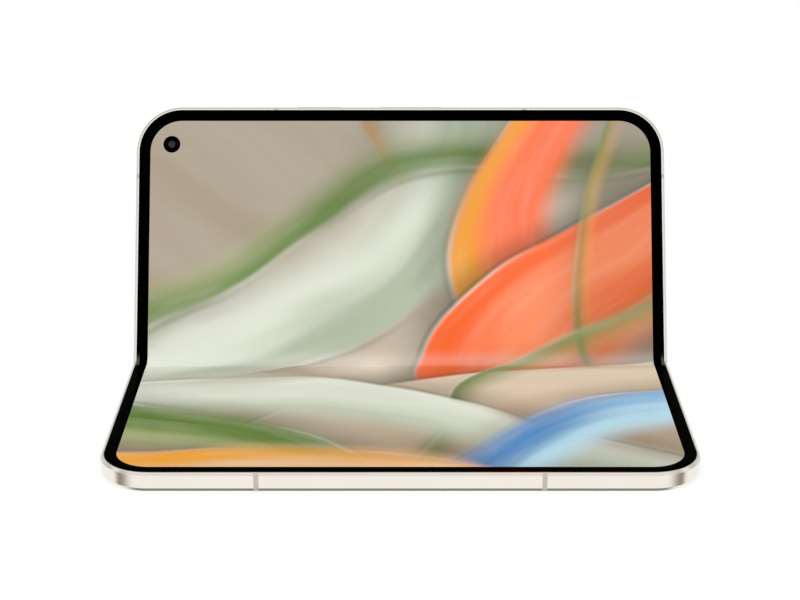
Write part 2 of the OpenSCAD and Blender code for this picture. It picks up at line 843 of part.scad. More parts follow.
module lid_frame() {
    color("gainsboro") in_lid() difference() {
        housing();
        button_slot(power_x, power_len);
        button_slot(volume_x, volume_len);
        translate([half_w - 8, port_y, port_z]) rotate([90, 0, 90])
            linear_extrude(10)
                rounded(port_w + 2 * seat_gap, port_h + 2 * seat_gap, port_h / 2 + seat_gap - eps);
        translate([-inner_cam_x, half_d - inner_cam_edge, plate_bottom - 1])
            cylinder(r = punch_r + seat_gap, h = 3, $fn = 48);
        sound_holes(20, 6);
        mirror([1, 0, 0]) sound_holes(30, 1);
    }
}

module lid_antenna_bands() {
    color("silver") in_lid() at_bands() wall_section();
}

module island_plan(inset) {
    translate([island_x, island_y]) rounded(island_w - 2 * inset, island_len - 2 * inset,
        island_r - inset);
}

module back_glass() {
    color("antiquewhite") in_lid() difference() {
        half_plate(rim_w + seat_gap, inner_wall_y + seat_gap, back_z, glass_top);
        translate([0, 0, back_z - 1]) linear_extrude(3) island_plan(neck_in - seat_gap);
    }
}

module at_lens(i) {
    translate([island_x - 1.5, island_y + (i - 1) * lens_gap, 0]) children();
}

module camera_island() {
    color("gainsboro") in_lid() difference() {
        union() {
            translate([0, 0, back_z - island_h]) linear_extrude(island_h) island_plan(0);
            translate([0, 0, back_z - eps]) linear_extrude(glass_t) island_plan(neck_in);
        }
        for (i = [0 : 2]) at_lens(i) {
            translate([0, 0, back_z - 5]) cylinder(r = lens_r - lens_lip, h = 10, $fn = 64);
            translate([0, 0, back_z - island_h - 1]) cylinder(r = lens_r + shaft_gap, h = 1 + lens_lip, $fn = 64);
        }
        translate([flash_x, island_y, back_z - 5]) cylinder(r = flash_r + shaft_gap, h = 10, $fn = 48);
    }
}

module lens_covers() {
    color("black") in_lid() for (i = [0 : 2]) at_lens(i)
        translate([0, 0, back_z - island_h]) cylinder(r = lens_r, h = lens_lip, $fn = 64);
}

module rear_camera(i, barrel_r) {
    top = plate_bottom - 0.3;
    color("dimgray") in_lid() at_lens(i) {
        translate([0, 0, back_z - island_h + 1]) cylinder(r = barrel_r, h = 4, $fn = 64);
        translate([-camera_w / 2, -camera_w / 2, glass_top]) cube([camera_w, camera_w, top - glass_top]);
    }
}

module main_camera() {
    rear_camera(1, lens_r - 1);
}

module ultrawide_camera() {
    rear_camera(0, lens_r - 1.6);
}

module tele_camera() {
    rear_camera(2, lens_r - 1.4);
}

module flash_window() {
    color("white") in_lid() translate([flash_x, island_y, back_z - island_h])
        cylinder(r = flash_r, h = 1.2, $fn = 48);
}

module inner_camera() {
    color("black") in_lid() translate([-inner_cam_x, half_d - inner_cam_edge, 0]) {
        translate([0, 0, plate_bottom - 0.1]) cylinder(r = 2.3, h = mid_plate_t + 0.4, $fn = 48);
        translate([-3, -3, plate_bottom - 2]) cube([6, 6, 1.9]);
    }
}

module lid_display() {
    color("tan") in_lid() difference() {
        half_display();
        translate([-inner_cam_x, half_d - inner_cam_edge, -2])
            cylinder(r = punch_r, h = 4, $fn = 64);
    }
}

module lid_border() {
    color("black") in_lid() half_border();
}

module lid_battery() {
    color("darkslategray") in_lid()
        rounded_box(-17, 55, inner_start, inner_edge, glass_top + 0.3, plate_bottom - 0.2, 2);
}

module heat_spreader() {
    color("peru") in_lid()
        box(-16, 54, inner_start + 1, inner_edge - 1, plate_bottom - 0.15, plate_bottom);
}

module main_board() {
    color("seagreen") in_lid() difference() {
        union() {
            rounded_box(-cavity_x + 1.5, -19, inner_start, inner_edge - 12, board_bottom, board_top, 2);
            rounded_box(-52, -19, inner_edge - 16, inner_edge, board_bottom, board_top, 2);
        }
        for (i = [0 : 2]) at_lens(i)
            translate([-5.4, -5.4, -5]) cube([10.8, 10.8, 5]);
    }
}

module board_chips() {
    color("black") in_lid() {
        box(-33, -23, 30, 42, board_bottom - 0.9, board_bottom);
        box(-32, -24, 18, 27, board_bottom - 0.7, board_bottom);
        box(-34, -23, 46, 58, board_bottom - 0.7, board_bottom);
    }
}

module board_shield() {
    color("silver") in_lid() difference() {
        box(-37, -20.5, 15, 66, board_bottom - 1.4, board_bottom);
        box(-36.8, -20.7, 15.2, 65.8, board_bottom - 1.2, board_bottom + 1);
    }
}

module charging_coil() {
    color("peru") in_lid() translate([19, island_y + 4, glass_top]) difference() {
        cylinder(r = 22, h = 0.25, $fn = 96);
        translate([0, 0, -1]) cylinder(r = 11, h = 3, $fn = 96);
    }
}

module charging_board() {
    color("seagreen") in_lid()
        rounded_box(57, half_w - 7.8, 31, 60, port_z - 0.4, port_z + 0.2, 1);
}

module charging_port() {
    wall = 0.3;
    color("silver") in_lid() translate([half_w - 7.6, port_y, port_z]) rotate([90, 0, 90]) {
        difference() {
            linear_extrude(7.3) rounded(port_w, port_h, port_h / 2 - eps);
            translate([0, 0, 0.8]) linear_extrude(8)
                rounded(port_w - 2 * wall, port_h - 2 * wall, port_h / 2 - wall - eps);
        }
        translate([-3.3, -0.35, 0.7]) cube([6.6, 0.7, 5]);
    }
}

module loudspeaker() {
    color("dimgray") in_lid()
        rounded_box(57, cavity_x - 0.3, inner_start, 29, glass_top + 0.1, plate_bottom - 0.1, 1);
}

module button_flex() {
    color("darkorange") in_lid() {
        box(power_x - 5, volume_x + 9, flex_y, flex_y + 0.15, button_z - 1, button_z + 1);
        for (x = [power_x, volume_x - 5, volume_x + 5])
            translate([x, flex_y + 0.15, button_z]) rotate([-90, 0, 0])
                cylinder(r = 0.9, h = 0.35, $fn = 32);
    }
}

module lid_guide_rotors() {
    color("silver") in_lid() guide_rotors();
}

module lid_sync_rotor() {
    color("silver") in_lid() sync_rotor(lid_ring_phase);
}

module lid_rotor_screws() {
    color("dimgray") in_lid() rotor_screws();
}

module lid_wing() {
    color("lightgray") in_lid() wing();
}

// A key with a flange inside the wall, and play between the two
module key(x, len, play) {
    translate([x, cavity_edge - play, button_z]) rotate([-90, 0, 0]) {
        linear_extrude(wall_t + play + button_out) rounded(len, button_h, button_h / 2 - eps);
        translate([0, 0, -key_flange_t]) linear_extrude(key_flange_t)
            rounded(len + 2 * key_flange_out, button_h + 0.1, 0.8);
    }
}

module power_button() {
    color("whitesmoke") in_lid() key(power_x, power_len, slide_gap);
}

// The rib at the middle of the rocker is what it rocks on
module volume_rocker() {
    color("whitesmoke") in_lid() {
        key(volume_x, volume_len, rock_play);
        translate([volume_x, rock_y, button_z - button_h / 2 + 0.1])
            cylinder(r = rib_r, h = button_h - 0.2, $fn = 48);
    }
}

base_frame();
base_antenna_bands();
cover_glass();
cover_display();
cover_camera();
base_battery();
sub_board();
sub_board_shield();
sim_reader();
vibration_motor();
earpiece_speaker();
base_display();
base_border();
base_guide_rotors();
base_sync_rotor();
base_rotor_screws();
sim_tray();
base_wing();
spine_cover();
spine_end_caps();
guide_blocks();
sync_block();
block_screws();
friction_washers();
display_fold();
hinge_flex();
base_pinion();
base_idler();
lid_idler();
lid_pinion();
lid_frame();
lid_antenna_bands();
back_glass();
camera_island();
lens_covers();
main_camera();
ultrawide_camera();
tele_camera();
flash_window();
inner_camera();
lid_display();
lid_border();
lid_battery();
heat_spreader();
main_board();
board_chips();
board_shield();
charging_coil();
charging_board();
charging_port();
loudspeaker();
button_flex();
lid_guide_rotors();
lid_sync_rotor();
lid_rotor_screws();
lid_wing();
power_button();
volume_rocker();
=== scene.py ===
"""Book-style folding phone, standing half open on its back.

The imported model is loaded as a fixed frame. Each sub-assembly is a class that builds its pieces in
half coordinates (X along the hinge, Y outwards from the fold, Z = 0 on the display surface), then
lays them on the base, the spine or the lid. Lengths are in metres.
"""

import json
import logging
import math
from dataclasses import asdict, dataclass
from enum import Enum
from typing import ClassVar

import bmesh
import bpy
from mathutils import Matrix, Vector


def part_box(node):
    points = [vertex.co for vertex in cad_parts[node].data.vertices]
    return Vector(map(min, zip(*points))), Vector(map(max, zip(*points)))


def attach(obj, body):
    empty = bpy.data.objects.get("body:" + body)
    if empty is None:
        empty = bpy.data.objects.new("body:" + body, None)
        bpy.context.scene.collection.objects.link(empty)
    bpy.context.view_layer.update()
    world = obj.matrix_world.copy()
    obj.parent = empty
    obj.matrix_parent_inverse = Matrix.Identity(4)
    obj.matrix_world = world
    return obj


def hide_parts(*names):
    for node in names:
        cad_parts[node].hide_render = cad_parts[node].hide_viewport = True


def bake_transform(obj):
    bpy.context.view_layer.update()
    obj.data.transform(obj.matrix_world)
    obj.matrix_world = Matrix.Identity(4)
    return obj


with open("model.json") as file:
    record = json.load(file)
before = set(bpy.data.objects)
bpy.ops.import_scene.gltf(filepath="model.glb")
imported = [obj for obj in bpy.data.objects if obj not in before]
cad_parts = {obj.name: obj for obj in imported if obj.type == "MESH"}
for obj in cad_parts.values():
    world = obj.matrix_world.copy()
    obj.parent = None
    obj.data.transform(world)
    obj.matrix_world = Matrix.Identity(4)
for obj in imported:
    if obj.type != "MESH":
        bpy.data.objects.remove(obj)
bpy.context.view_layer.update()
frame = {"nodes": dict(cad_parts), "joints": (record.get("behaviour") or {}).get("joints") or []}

Colour = tuple[float, float, float]
BMesh = bmesh.types.BMesh
Edge = bmesh.types.BMEdge
Vert = bmesh.types.BMVert
Material = bpy.types.Material
Socket = bpy.types.NodeSocket

LOG = logging.getLogger("folding_phone")
MM = 0.001
FUSE = 1e-8  # turned points closer than this become one
NEAR = 1e-7  # places closer than this are the same place
HAIR = 1e-6  # reach of a search for the outermost points
SHARP = math.radians(40)  # edges that turn more than this can be softened
ROUND = 0.999  # a corner's radius, as a share of half the width, where the end is a half circle
CRISP = 35.0  # edges sharper than this, in degrees, are drawn crisp
OUTWARDS = Vector((0, 1, 0))  # away from the fold, in half coordinates
WHITE = (1.0, 1.0, 1.0)


def srgb(red: int, green: int, blue: int) -> Colour:
    """Turns a display colour into the linear one that a shader takes.

    Args:
        red: red, 0 to 255.
        green: green.
        blue: blue.

    Returns:
        The linear colour.
    """
    def channel(value: int) -> float:
        """One channel, on the display's curve."""
        share = value / 255
        return share / 12.92 if share <= 0.04045 else ((share + 0.055) / 1.055) ** 2.4

    return channel(red), channel(green), channel(blue)


# ---- Places ----


def turn_about(y: float, z: float, angle: float) -> Matrix:
    """A turn about the line along X through (y, z)."""
    there = Matrix.Translation((0, y, z))
    return there @ Matrix.Rotation(angle, 4, "X") @ there.inverted()


class Side(Enum):
    """What a piece is laid on: its value is the body that it rides on."""

    BASE = "base"
    SPINE = "spine"
    LID = "lid"


@dataclass(frozen=True)
class Layout:
    """Sizes and places read from the frame, shared by every sub-assembly.

    Args:
        half_w: half of the length along the hinge.
        half_d: depth of one half, from the fold to its outer edge.
        surface: height of the base's display surface.
        fold_y: place of the fold when the phone is flat.
        axis_y: distance of each fold axis from the fold.
        axis_z: height of each fold axis, from the display surface.
        bend: turn at each axis, at rest.
        edge: distance of the display from the outer edge.
        corner: radius of the outer corners.
    """

    half_w: float
    half_d: float
    surface: float
    fold_y: float
    axis_y: float
    axis_z: float
    bend: float
    edge: float
    corner: float = 13.4 * MM

    @classmethod
    def from_frame(cls) -> "Layout":
        """Works the layout out from the base frame's box and the two fold joints.

        Returns:
            The layout.
        """
        low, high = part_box("base_frame")
        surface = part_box("base_display")[1].z
        pivots = {j["name"]: j["pos_m"] for j in frame["joints"] if j["type"] == "hinge"}
        first, second = pivots["base_fold"], pivots["lid_fold"]
        fold_y = -low.y
        return cls(
            half_w=high.x,
            half_d=fold_y - low.y,
            surface=surface,
            fold_y=fold_y,
            axis_y=fold_y - first[1],
            axis_z=first[2] - surface,
            bend=math.atan2(second[2] - first[2], second[1] - first[1]),
            edge=high.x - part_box("base_display")[1].x,
        )

    @property
    def back_z(self) -> float:
        """Height of a half's back, in half coordinates."""
        return -self.surface

    def flat(self) -> Matrix:
        """Half coordinates of the lid laid out flat, with the base."""
        return Matrix.Translation((0, self.fold_y, self.surface))

    def pivot(self, side: Side) -> tuple[float, float]:
        """The fold axis beside the base or beside the lid, at rest, as (y, z).

        Args:
            side: the base or the lid.

        Returns:
            The axis's place.
        """
        base_pivot = (self.fold_y - self.axis_y, self.surface + self.axis_z)
        if side is Side.BASE:
            return base_pivot
        reach = 2 * self.axis_y
        return base_pivot[0] + reach * math.cos(self.bend), base_pivot[1] + reach * math.sin(self.bend)

    def place(self, side: Side) -> Matrix:
        """Matrix that lays half coordinates on the base, the spine or the lid, at rest.

        Args:
            side: what the piece is laid on.

        Returns:
            The matrix.
        """
        if side is Side.BASE:
            return self.flat() @ Matrix.Scale(-1, 4, (0, 1, 0))
        on_spine = turn_about(*self.pivot(Side.BASE), self.bend) @ self.flat()
        if side is Side.SPINE:
            return on_spine
        return turn_about(*self.pivot(Side.LID), self.bend) @ on_spine


# ---- Shapes ----


def soften(bm: BMesh, height: float, size: float, steps: int = 3, near: float | None = None) -> None:
    """Rounds the sharp edges that lie at one height.

    Args:
        bm: the shape.
        height: the edges' Z.
        size: radius.
        steps: segments of the round.
        near: Y of a line whose edges stay sharp, if any.
    """
    edges = [
        e for e in bm.edges
        if all(abs(v.co.z - height) < NEAR for v in e.verts)
        and len(e.link_faces) == 2 and e.calc_face_angle() > SHARP
        and not (near is not None and all(abs(v.co.y - near) < NEAR for v in e.verts))
    ]
    bmesh.ops.bevel(bm, geom=edges, offset=size, offset_type="OFFSET", affect="EDGES",
                    segments=steps, profile=0.5, material=-1, clamp_overlap=True)


def rounded_corners(bm: BMesh, verts: list[Vert], radius: float, steps: int) -> None:
    """Rounds a flat outline's corners.

    Args:
        bm: the outline.
        verts: its corners.
        radius: radius of the round.
        steps: segments of the round.
    """
    bmesh.ops.bevel(bm, geom=verts, offset=radius, offset_type="OFFSET", affect="VERTICES",
                    segments=steps, profile=0.5, material=-1)


def sheet(low: tuple[float, float], high: tuple[float, float],
          steps: tuple[int, int] = (1, 1)) -> BMesh:
    """A flat rectangle at Z = 0.

    Args:
        low: its lowest (x, y).
        high: its highest (x, y).
        steps: divisions along x and y.

    Returns:
        A new bmesh that holds it, facing up.
    """
    bm = bmesh.new()
    bmesh.ops.create_grid(bm, x_segments=steps[0], y_segments=steps[1], size=0.5)
    bmesh.ops.scale(bm, vec=(high[0] - low[0], high[1] - low[1], 1), verts=bm.verts)
    bmesh.ops.translate(bm, vec=((low[0] + high[0]) / 2, (low[1] + high[1]) / 2, 0), verts=bm.verts)
    return bm


def thicken(bm: BMesh, thickness: float) -> None:
    """Gives flat faces a thickness, away from the way they face."""
    bmesh.ops.solidify(bm, geom=bm.faces[:], thickness=thickness)


def lift(bm: BMesh, height: float) -> None:
    """Moves a shape along Z."""
    bmesh.ops.translate(bm, vec=(0, 0, height), verts=bm.verts)


def slab(reach: tuple[float, float], corner: float, steps: int, top: float, deep: float) -> BMesh:
    """A slab with round corners.

    Args:
        reach: half of its length and of its width.
        corner: radius of its corners.
        steps: segments of each corner.
        top: height of its top.
        deep: its thickness.

    Returns:
        A new bmesh.
    """
    bm = sheet((-reach[0], -reach[1]), reach)
    rounded_corners(bm, bm.verts[:], corner, steps)
    lift(bm, top)
    thicken(bm, deep)
    return bm


def half_sheet(layout: Layout, inset: float, start: float, steps: int = 20) -> BMesh:
    """The flat plan of one half, drawn in from its outer edge.

    Args:
        layout: the phone's sizes.
        inset: distance in from the outer edge, on three sides.
        start: distance of the near edge from the fold.
        steps: segments of each corner.

    Returns:
        A new bmesh with one face, facing up.
    """
    reach = layout.half_w - inset
    far = layout.half_d - inset
    bm = sheet((-reach, start), (reach, far))
    corners = [v for v in bm.verts if v.co.y > far - HAIR]
    rounded_corners(bm, corners, layout.corner - inset, steps)
    return bm


def lathe(profile: list[tuple[float, float]], steps: int = 48) -> BMesh:
    """Spins an outline of (radius, height) points round Z.

    Args:
        profile: the outline. It closes on itself, or on the axis at both ends.
        steps: segments of the full turn.

    Returns:
        A new bmesh of the closed shape.
    """
    bm = bmesh.new()
    verts = [bm.verts.new((r, 0, z)) for r, z in profile]
    pairs = list(zip(verts, verts[1:]))
    if profile[0][0] > 0:
        pairs.append((verts[-1], verts[0]))
    edges = [bm.edges.new(pair) for pair in pairs]
    bmesh.ops.spin(bm, geom=verts + edges, cent=(0, 0, 0), axis=(0, 0, 1),
                   angle=2 * math.pi, steps=steps, use_merge=True)
    bmesh.ops.remove_doubles(bm, verts=bm.verts[:], dist=FUSE)
    bmesh.ops.recalc_face_normals(bm, faces=bm.faces[:])
    return bm


def cut(bm: BMesh, at: Vector, facing: Vector, **clear: bool) -> list[Edge]:
    """Cuts a shape along a plane.

    Args:
        bm: the shape.
        at: a point on the plane.
        facing: the plane's normal.
        clear: clear_inner or clear_outer, to drop what is behind or before the plane.

    Returns:
        The edges along the cut.
    """
    whole = bm.verts[:] + bm.edges[:] + bm.faces[:]
    made = bmesh.ops.bisect_plane(bm, geom=whole, plane_co=at, plane_no=facing, **clear)
    return [part for part in made["geom_cut"] if isinstance(part, Edge)]


def dome(radius: float, base: float, rise: float, foot: float, steps: int) -> BMesh:
    """A lens with a domed front, round Z.

    Args:
        radius: its radius.
        base: height where the dome starts.
        rise: height of the dome.
        foot: depth of the foot under it.
        steps: rings of the dome.

    Returns:
        A new bmesh of the closed shape.
    """
    turns = [i * math.pi / (2 * steps) for i in range(steps)]
    bulge = [(radius * math.cos(a), base + rise * math.sin(a)) for a in turns]
    return lathe([(0, base - foot), (radius, base - foot), *bulge, (0, base + rise)])


def join(*parts: BMesh) -> BMesh:
    """Puts several shapes into one, and frees them.

    Args:
        parts: the shapes.

    Returns:
        A new bmesh of them all.
    """
    whole = bmesh.new()
    for part in parts:
        carrier = bpy.data.meshes.new("carrier")
        part.to_mesh(carrier)
        whole.from_mesh(carrier)
        bpy.data.meshes.remove(carrier)
        part.free()
    return whole


# ---- Shader graphs ----


class Graph:
    """A node tree, with short ways to add nodes and join them."""

    def __init__(self, tree: bpy.types.NodeTree) -> None:
        """Wraps a tree."""
        self.tree = tree

    def node(self, kind: str, inputs: dict | None = None, **settings: object) -> bpy.types.Node:
        """Adds a node.

        Args:
            kind: the node's type.
            inputs: a value or an output for each named or numbered input.
            settings: the node's own properties.

        Returns:
            The node.
        """
        made = self.tree.nodes.new(kind)
        for key, value in settings.items():
            setattr(made, key, value)
        self.give(made, inputs or {})
        return made

    def give(self, taker: bpy.types.Node, inputs: dict) -> None:
        """Sets a node's inputs.

        Args:
            taker: the node.
            inputs: a value or an output for each named or numbered input.
        """
        for key, value in inputs.items():
            if isinstance(value, Socket):
                self.tree.links.new(value, taker.inputs[key])
            elif taker.inputs[key].type == "RGBA":
                taker.inputs[key].default_value = (*value, 1.0)
            else:
                taker.inputs[key].default_value = value

    def object_place(self) -> Socket:
        """Object coordinates."""
        return self.node("ShaderNodeTexCoord").outputs["Object"]

    def vector(self, operation: str, inputs: dict) -> Socket:
        """A Vector Math node's result."""
        return self.node("ShaderNodeVectorMath", inputs, operation=operation).outputs[0]

    def math(self, operation: str, *values: object) -> Socket:
        """A Math node's result."""
        return self.node("ShaderNodeMath", dict(enumerate(values)), operation=operation).outputs[0]

    def product(self, *values: object) -> Socket:
        """Two values or more, multiplied.

        Args:
            values: numbers or outputs.

        Returns:
            The product.
        """
        made = values[0]
        for value in values[1:]:
            made = self.math("MULTIPLY", made, value)
        return made

    def ridge(self, value: Socket, at: float, width: float) -> Socket:
        """A soft ridge: 1 where the value is at a place, and 0 far from it."""
        share = self.math("DIVIDE", self.math("SUBTRACT", value, at), width)
        return self.math("EXPONENT", self.product(share, share, -1.0))

    def bump(self, height: Socket, strength: float, distance: object) -> Socket:
        """The normal of a small relief."""
        inputs = {"Strength": strength, "Distance": distance, "Height": height}
        return self.node("ShaderNodeBump", inputs).outputs[0]

    def mix(self, share: object, first: object, second: object) -> Socket:
        """A mix of two colours."""
        made = self.node("ShaderNodeMix", {0: share, 6: first, 7: second}, data_type="RGBA")
        return made.outputs[2]

    def spread(self, value: object, low: object, high: object, to_low: object = 0.0,
               to_high: object = 1.0, smooth: bool = False) -> Socket:
        """A value moved from one range to another.

        Args:
            value: the value.
            low: start of its range.
            high: end of its range.
            to_low: what the start becomes.
            to_high: what the end becomes.
            smooth: whether the change eases in and out.

        Returns:
            The new value.
        """
        inputs = {0: value, 1: low, 2: high, 3: to_low, 4: to_high}
        kind = "SMOOTHSTEP" if smooth else "LINEAR"
        return self.node("ShaderNodeMapRange", inputs, interpolation_type=kind).outputs[0]

    def blend(self, share: object, first: Socket, second: Socket) -> Socket:
        """A mix of two shaders."""
        return self.node("ShaderNodeMixShader", {0: share, 1: first, 2: second}).outputs[0]

    def noise(self, where: object, scale: object, detail: float = 3.0, rough: float = 0.5) -> Socket:
        """A noise texture's value."""
        inputs = {"Vector": where, "Scale": scale, "Detail": detail, "Roughness": rough}
        return self.node("ShaderNodeTexNoise", inputs).outputs["Fac"]


def new_material(name: str) -> tuple[Material, Graph]:
    """Starts a material.

    Args:
        name: its name.

    Returns:
        The material, with a Principled shader, and its graph.
    """
    made = bpy.data.materials.new(name)
    made.use_nodes = True
    return made, Graph(made.node_tree)


def group(name: str, inputs: dict[str, object],
          outputs: dict[str, str]) -> tuple[Graph, dict[str, Socket], bpy.types.Node]:
    """Starts a shader node group.

    Args:
        name: the group's name.
        inputs: each input's default: a number, a colour, or None for a vector.
        outputs: for each output, its kind.

    Returns:
        The group's graph, its inner inputs by name, and its output node.
    """
    tree = bpy.data.node_groups.new(name, "ShaderNodeTree")
    for label, default in inputs.items():
        kind = "Vector" if default is None else "Color" if isinstance(default, tuple) else "Float"
        socket = tree.interface.new_socket(label, in_out="INPUT", socket_type="NodeSocket" + kind)
        if default is not None:
            socket.default_value = (*default, 1.0) if kind == "Color" else default
    for label, kind in outputs.items():
        tree.interface.new_socket(label, in_out="OUTPUT", socket_type="NodeSocket" + kind)
    graph = Graph(tree)
    entry = tree.nodes.new("NodeGroupInput")
    return graph, {put.name: put for put in entry.outputs if put.name}, tree.nodes.new("NodeGroupOutput")


SURFACE = {"Mask": "Float", "Roughness": "Float", "Normal": "Vector"}


def grain_group() -> bpy.types.NodeTree:
    """Fine grain: a mask, a roughness that varies with it, and the normal of its tiny relief.

    Returns:
        The node group.
    """
    inputs = {"Vector": None, "Scale": 2000.0, "Low": 0.2, "High": 0.3, "Depth": 0.00001}
    graph, put, out = group("fine_grain", inputs, SURFACE)
    fine = graph.noise(put["Vector"], put["Scale"], 4.0, 0.6)
    broad = graph.noise(put["Vector"], 90.0, 2.0)
    mask = graph.math("ADD", graph.product(fine, 0.7), graph.product(broad, 0.3))
    rough = graph.spread(mask, 0.3, 0.7, put["Low"], put["High"])
    graph.give(out, {"Mask": mask, "Roughness": rough, "Normal": graph.bump(fine, 0.6, put["Depth"])})
    return graph.tree


def brushed_group() -> bpy.types.NodeTree:
    """Brush lines along X, for machined and rolled steel.

    Returns:
        The node group.
    """
    inputs = {"Vector": None, "Scale": 400.0, "Low": 0.2, "High": 0.4}
    graph, put, out = group("brush_lines", inputs, SURFACE)
    stretch = {"Vector": put["Vector"], "Scale": Vector((0.06, 4.0, 4.0))}
    lines = graph.noise(graph.node("ShaderNodeMapping", stretch).outputs[0], put["Scale"], 3.0, 0.7)
    rough = graph.spread(lines, 0.3, 0.7, put["Low"], put["High"])
    graph.give(out, {"Mask": lines, "Roughness": rough, "Normal": graph.bump(lines, 0.5, 0.000012)})
    return graph.tree


def smudge_group() -> bpy.types.NodeTree:
    """Faint wipe marks and finger marks on glass, as a roughness.

    Returns:
        The node group.
    """
    inputs = {"Vector": None, "Low": 0.04, "High": 0.12}
    graph, put, out = group("wipe_marks", inputs, {"Mask": "Float", "Roughness": "Float"})
    stretch = {"Vector": put["Vector"], "Scale": Vector((1.0, 2.6, 1.0)), "Rotation": Vector((0, 0, 0.5))}
    drawn = graph.node("ShaderNodeMapping", stretch).outputs[0]
    wipes = graph.spread(graph.noise(drawn, 45.0, 5.0, 0.6), 0.45, 0.75, smooth=True)
    cells = graph.node("ShaderNodeTexVoronoi", {"Vector": put["Vector"], "Scale": 55.0})
    spots = graph.spread(cells.outputs["Distance"], 0.1, 0.35, 1.0, 0.0, smooth=True)
    marks = graph.product(spots, graph.noise(put["Vector"], 2500.0, 1.0), 0.5)
    mask = graph.math("MAXIMUM", wipes, marks)
    rough = graph.spread(mask, 0.0, 1.0, put["Low"], put["High"])
    graph.give(out, {"Mask": mask, "Roughness": rough})
    return graph.tree


def silk_group() -> bpy.types.NodeTree:
    """One soft band of cloth, laid over the colour Under. The class Silk says what its other inputs are.

    Returns:
        The node group.
    """
    graph, put, out = group(
        "silk_sheet",
        {"Vector": None, "Under": (0, 0, 0), "Near": (1, 1, 1), "Far": (1, 1, 1), "Turn": 0.0, "Offset": 0.0,
         "Bow": 0.0, "Wave": 0.0, "Beat": 6.0, "Phase": 0.0, "Softness": 0.02, "Width": 2.0, "Fade": 0.1,
         "Depth": 0.4, "Streak": 0.4, "Line": 0.3, "Shade": 0.3},
        {"Color": "Color"})
    middle = {"Vector": put["Vector"], "Center": Vector((0.5, 0.5, 0)), "Angle": put["Turn"]}
    turned = graph.node("ShaderNodeVectorRotate", middle, rotation_type="Z_AXIS").outputs[0]
    along, across, _ = graph.node("ShaderNodeSeparateXYZ", {0: turned}).outputs

    # How far a point is past the curved edge
    beat = graph.math("MULTIPLY_ADD", along, put["Beat"], put["Phase"])
    wave = graph.product(graph.math("SINE", beat), put["Wave"])
    centred = graph.math("SUBTRACT", along, 0.5)
    rise = graph.math("SUBTRACT", across, put["Offset"])
    rise = graph.math("SUBTRACT", rise, wave)
    rise = graph.math("SUBTRACT", rise, graph.product(centred, centred, put["Bow"]))

    # Where the band is
    blur = graph.spread(graph.noise(turned, 2.3, 1.0), 0.35, 0.7, 0.2, 2.6, smooth=True)
    soft = graph.product(put["Softness"], blur)
    near_edge = graph.spread(graph.math("DIVIDE", rise, soft), -1.0, 1.0, smooth=True)
    past = graph.math("DIVIDE", graph.math("SUBTRACT", rise, put["Width"]), put["Fade"])
    mask = graph.product(near_edge, graph.spread(past, -1.0, 1.0, 1.0, 0.0, smooth=True))

    # Its colour, with folds and a sheen that run along it
    flow = {0: graph.product(along, 1.5), 1: graph.product(rise, 8.5), 2: put["Offset"]}
    flow = graph.node("ShaderNodeCombineXYZ", flow).outputs[0]
    folds = graph.spread(graph.noise(flow, 1.0, 2.0, 0.45), 0.33, 0.67, smooth=True)
    fine = graph.spread(graph.noise(flow, 3.4, 2.0, 0.5), 0.4, 0.8, smooth=True)
    deep = graph.spread(rise, 0.0, put["Depth"], smooth=True)
    deep = graph.math("MULTIPLY_ADD", graph.math("SUBTRACT", folds, 0.5), 0.9, deep)
    deep = graph.math("MINIMUM", graph.math("MAXIMUM", deep, 0.0), 1.0)
    colour = graph.mix(deep, put["Near"], put["Far"])
    light = graph.product(folds, put["Streak"], 0.38)
    dark = graph.product(graph.math("SUBTRACT", 1.0, folds), put["Streak"], 0.32)
    colour = graph.mix(light, colour, graph.mix(0.55, colour, (1.0, 0.97, 0.91)))
    colour = graph.mix(dark, colour, (0.13, 0.11, 0.07))
    colour = graph.mix(graph.product(fine, put["Streak"], 0.17), colour, (0.96, 0.93, 0.84))

    # Its shadow, and the dark and the light line along its edge
    cast = graph.product(graph.spread(rise, -0.10, 0.0, smooth=True), put["Shade"])
    laid = graph.mix(mask, graph.mix(cast, put["Under"], (0.05, 0.045, 0.03)), colour)
    broken = graph.spread(graph.noise(turned, 3.0, 1.0), 0.62, 0.4)
    laid = graph.mix(graph.product(graph.ridge(rise, -0.010, 0.006), put["Line"], broken), laid,
                     (0.035, 0.045, 0.02))
    broken = graph.spread(graph.noise(turned, 4.0, 1.0), 0.4, 0.6)
    laid = graph.mix(graph.product(graph.ridge(rise, 0.0, 0.0055), put["Line"], broken), laid,
                     (0.93, 0.94, 0.86))
    graph.give(out, {"Color": laid})
    return graph.tree


@dataclass(frozen=True)
class Effects:
    """The shader node groups that the finishes share.

    Args:
        grain: fine grain.
        brushed: brush lines.
        smudge: wipe marks on glass.
        silk: one sheet of the picture.
    """

    grain: bpy.types.NodeTree
    brushed: bpy.types.NodeTree
    smudge: bpy.types.NodeTree
    silk: bpy.types.NodeTree

    @classmethod
    def build(cls) -> "Effects":
        """Builds each group once."""
        return cls(grain_group(), brushed_group(), smudge_group(), silk_group())


# ---- Finishes ----


class Texture(Enum):
    """Kinds of surface detail."""

    GRAIN = "grain"
    BRUSHED = "brushed"
    GLASS = "glass"
    TRACES = "traces"
    WRAP = "wrap"


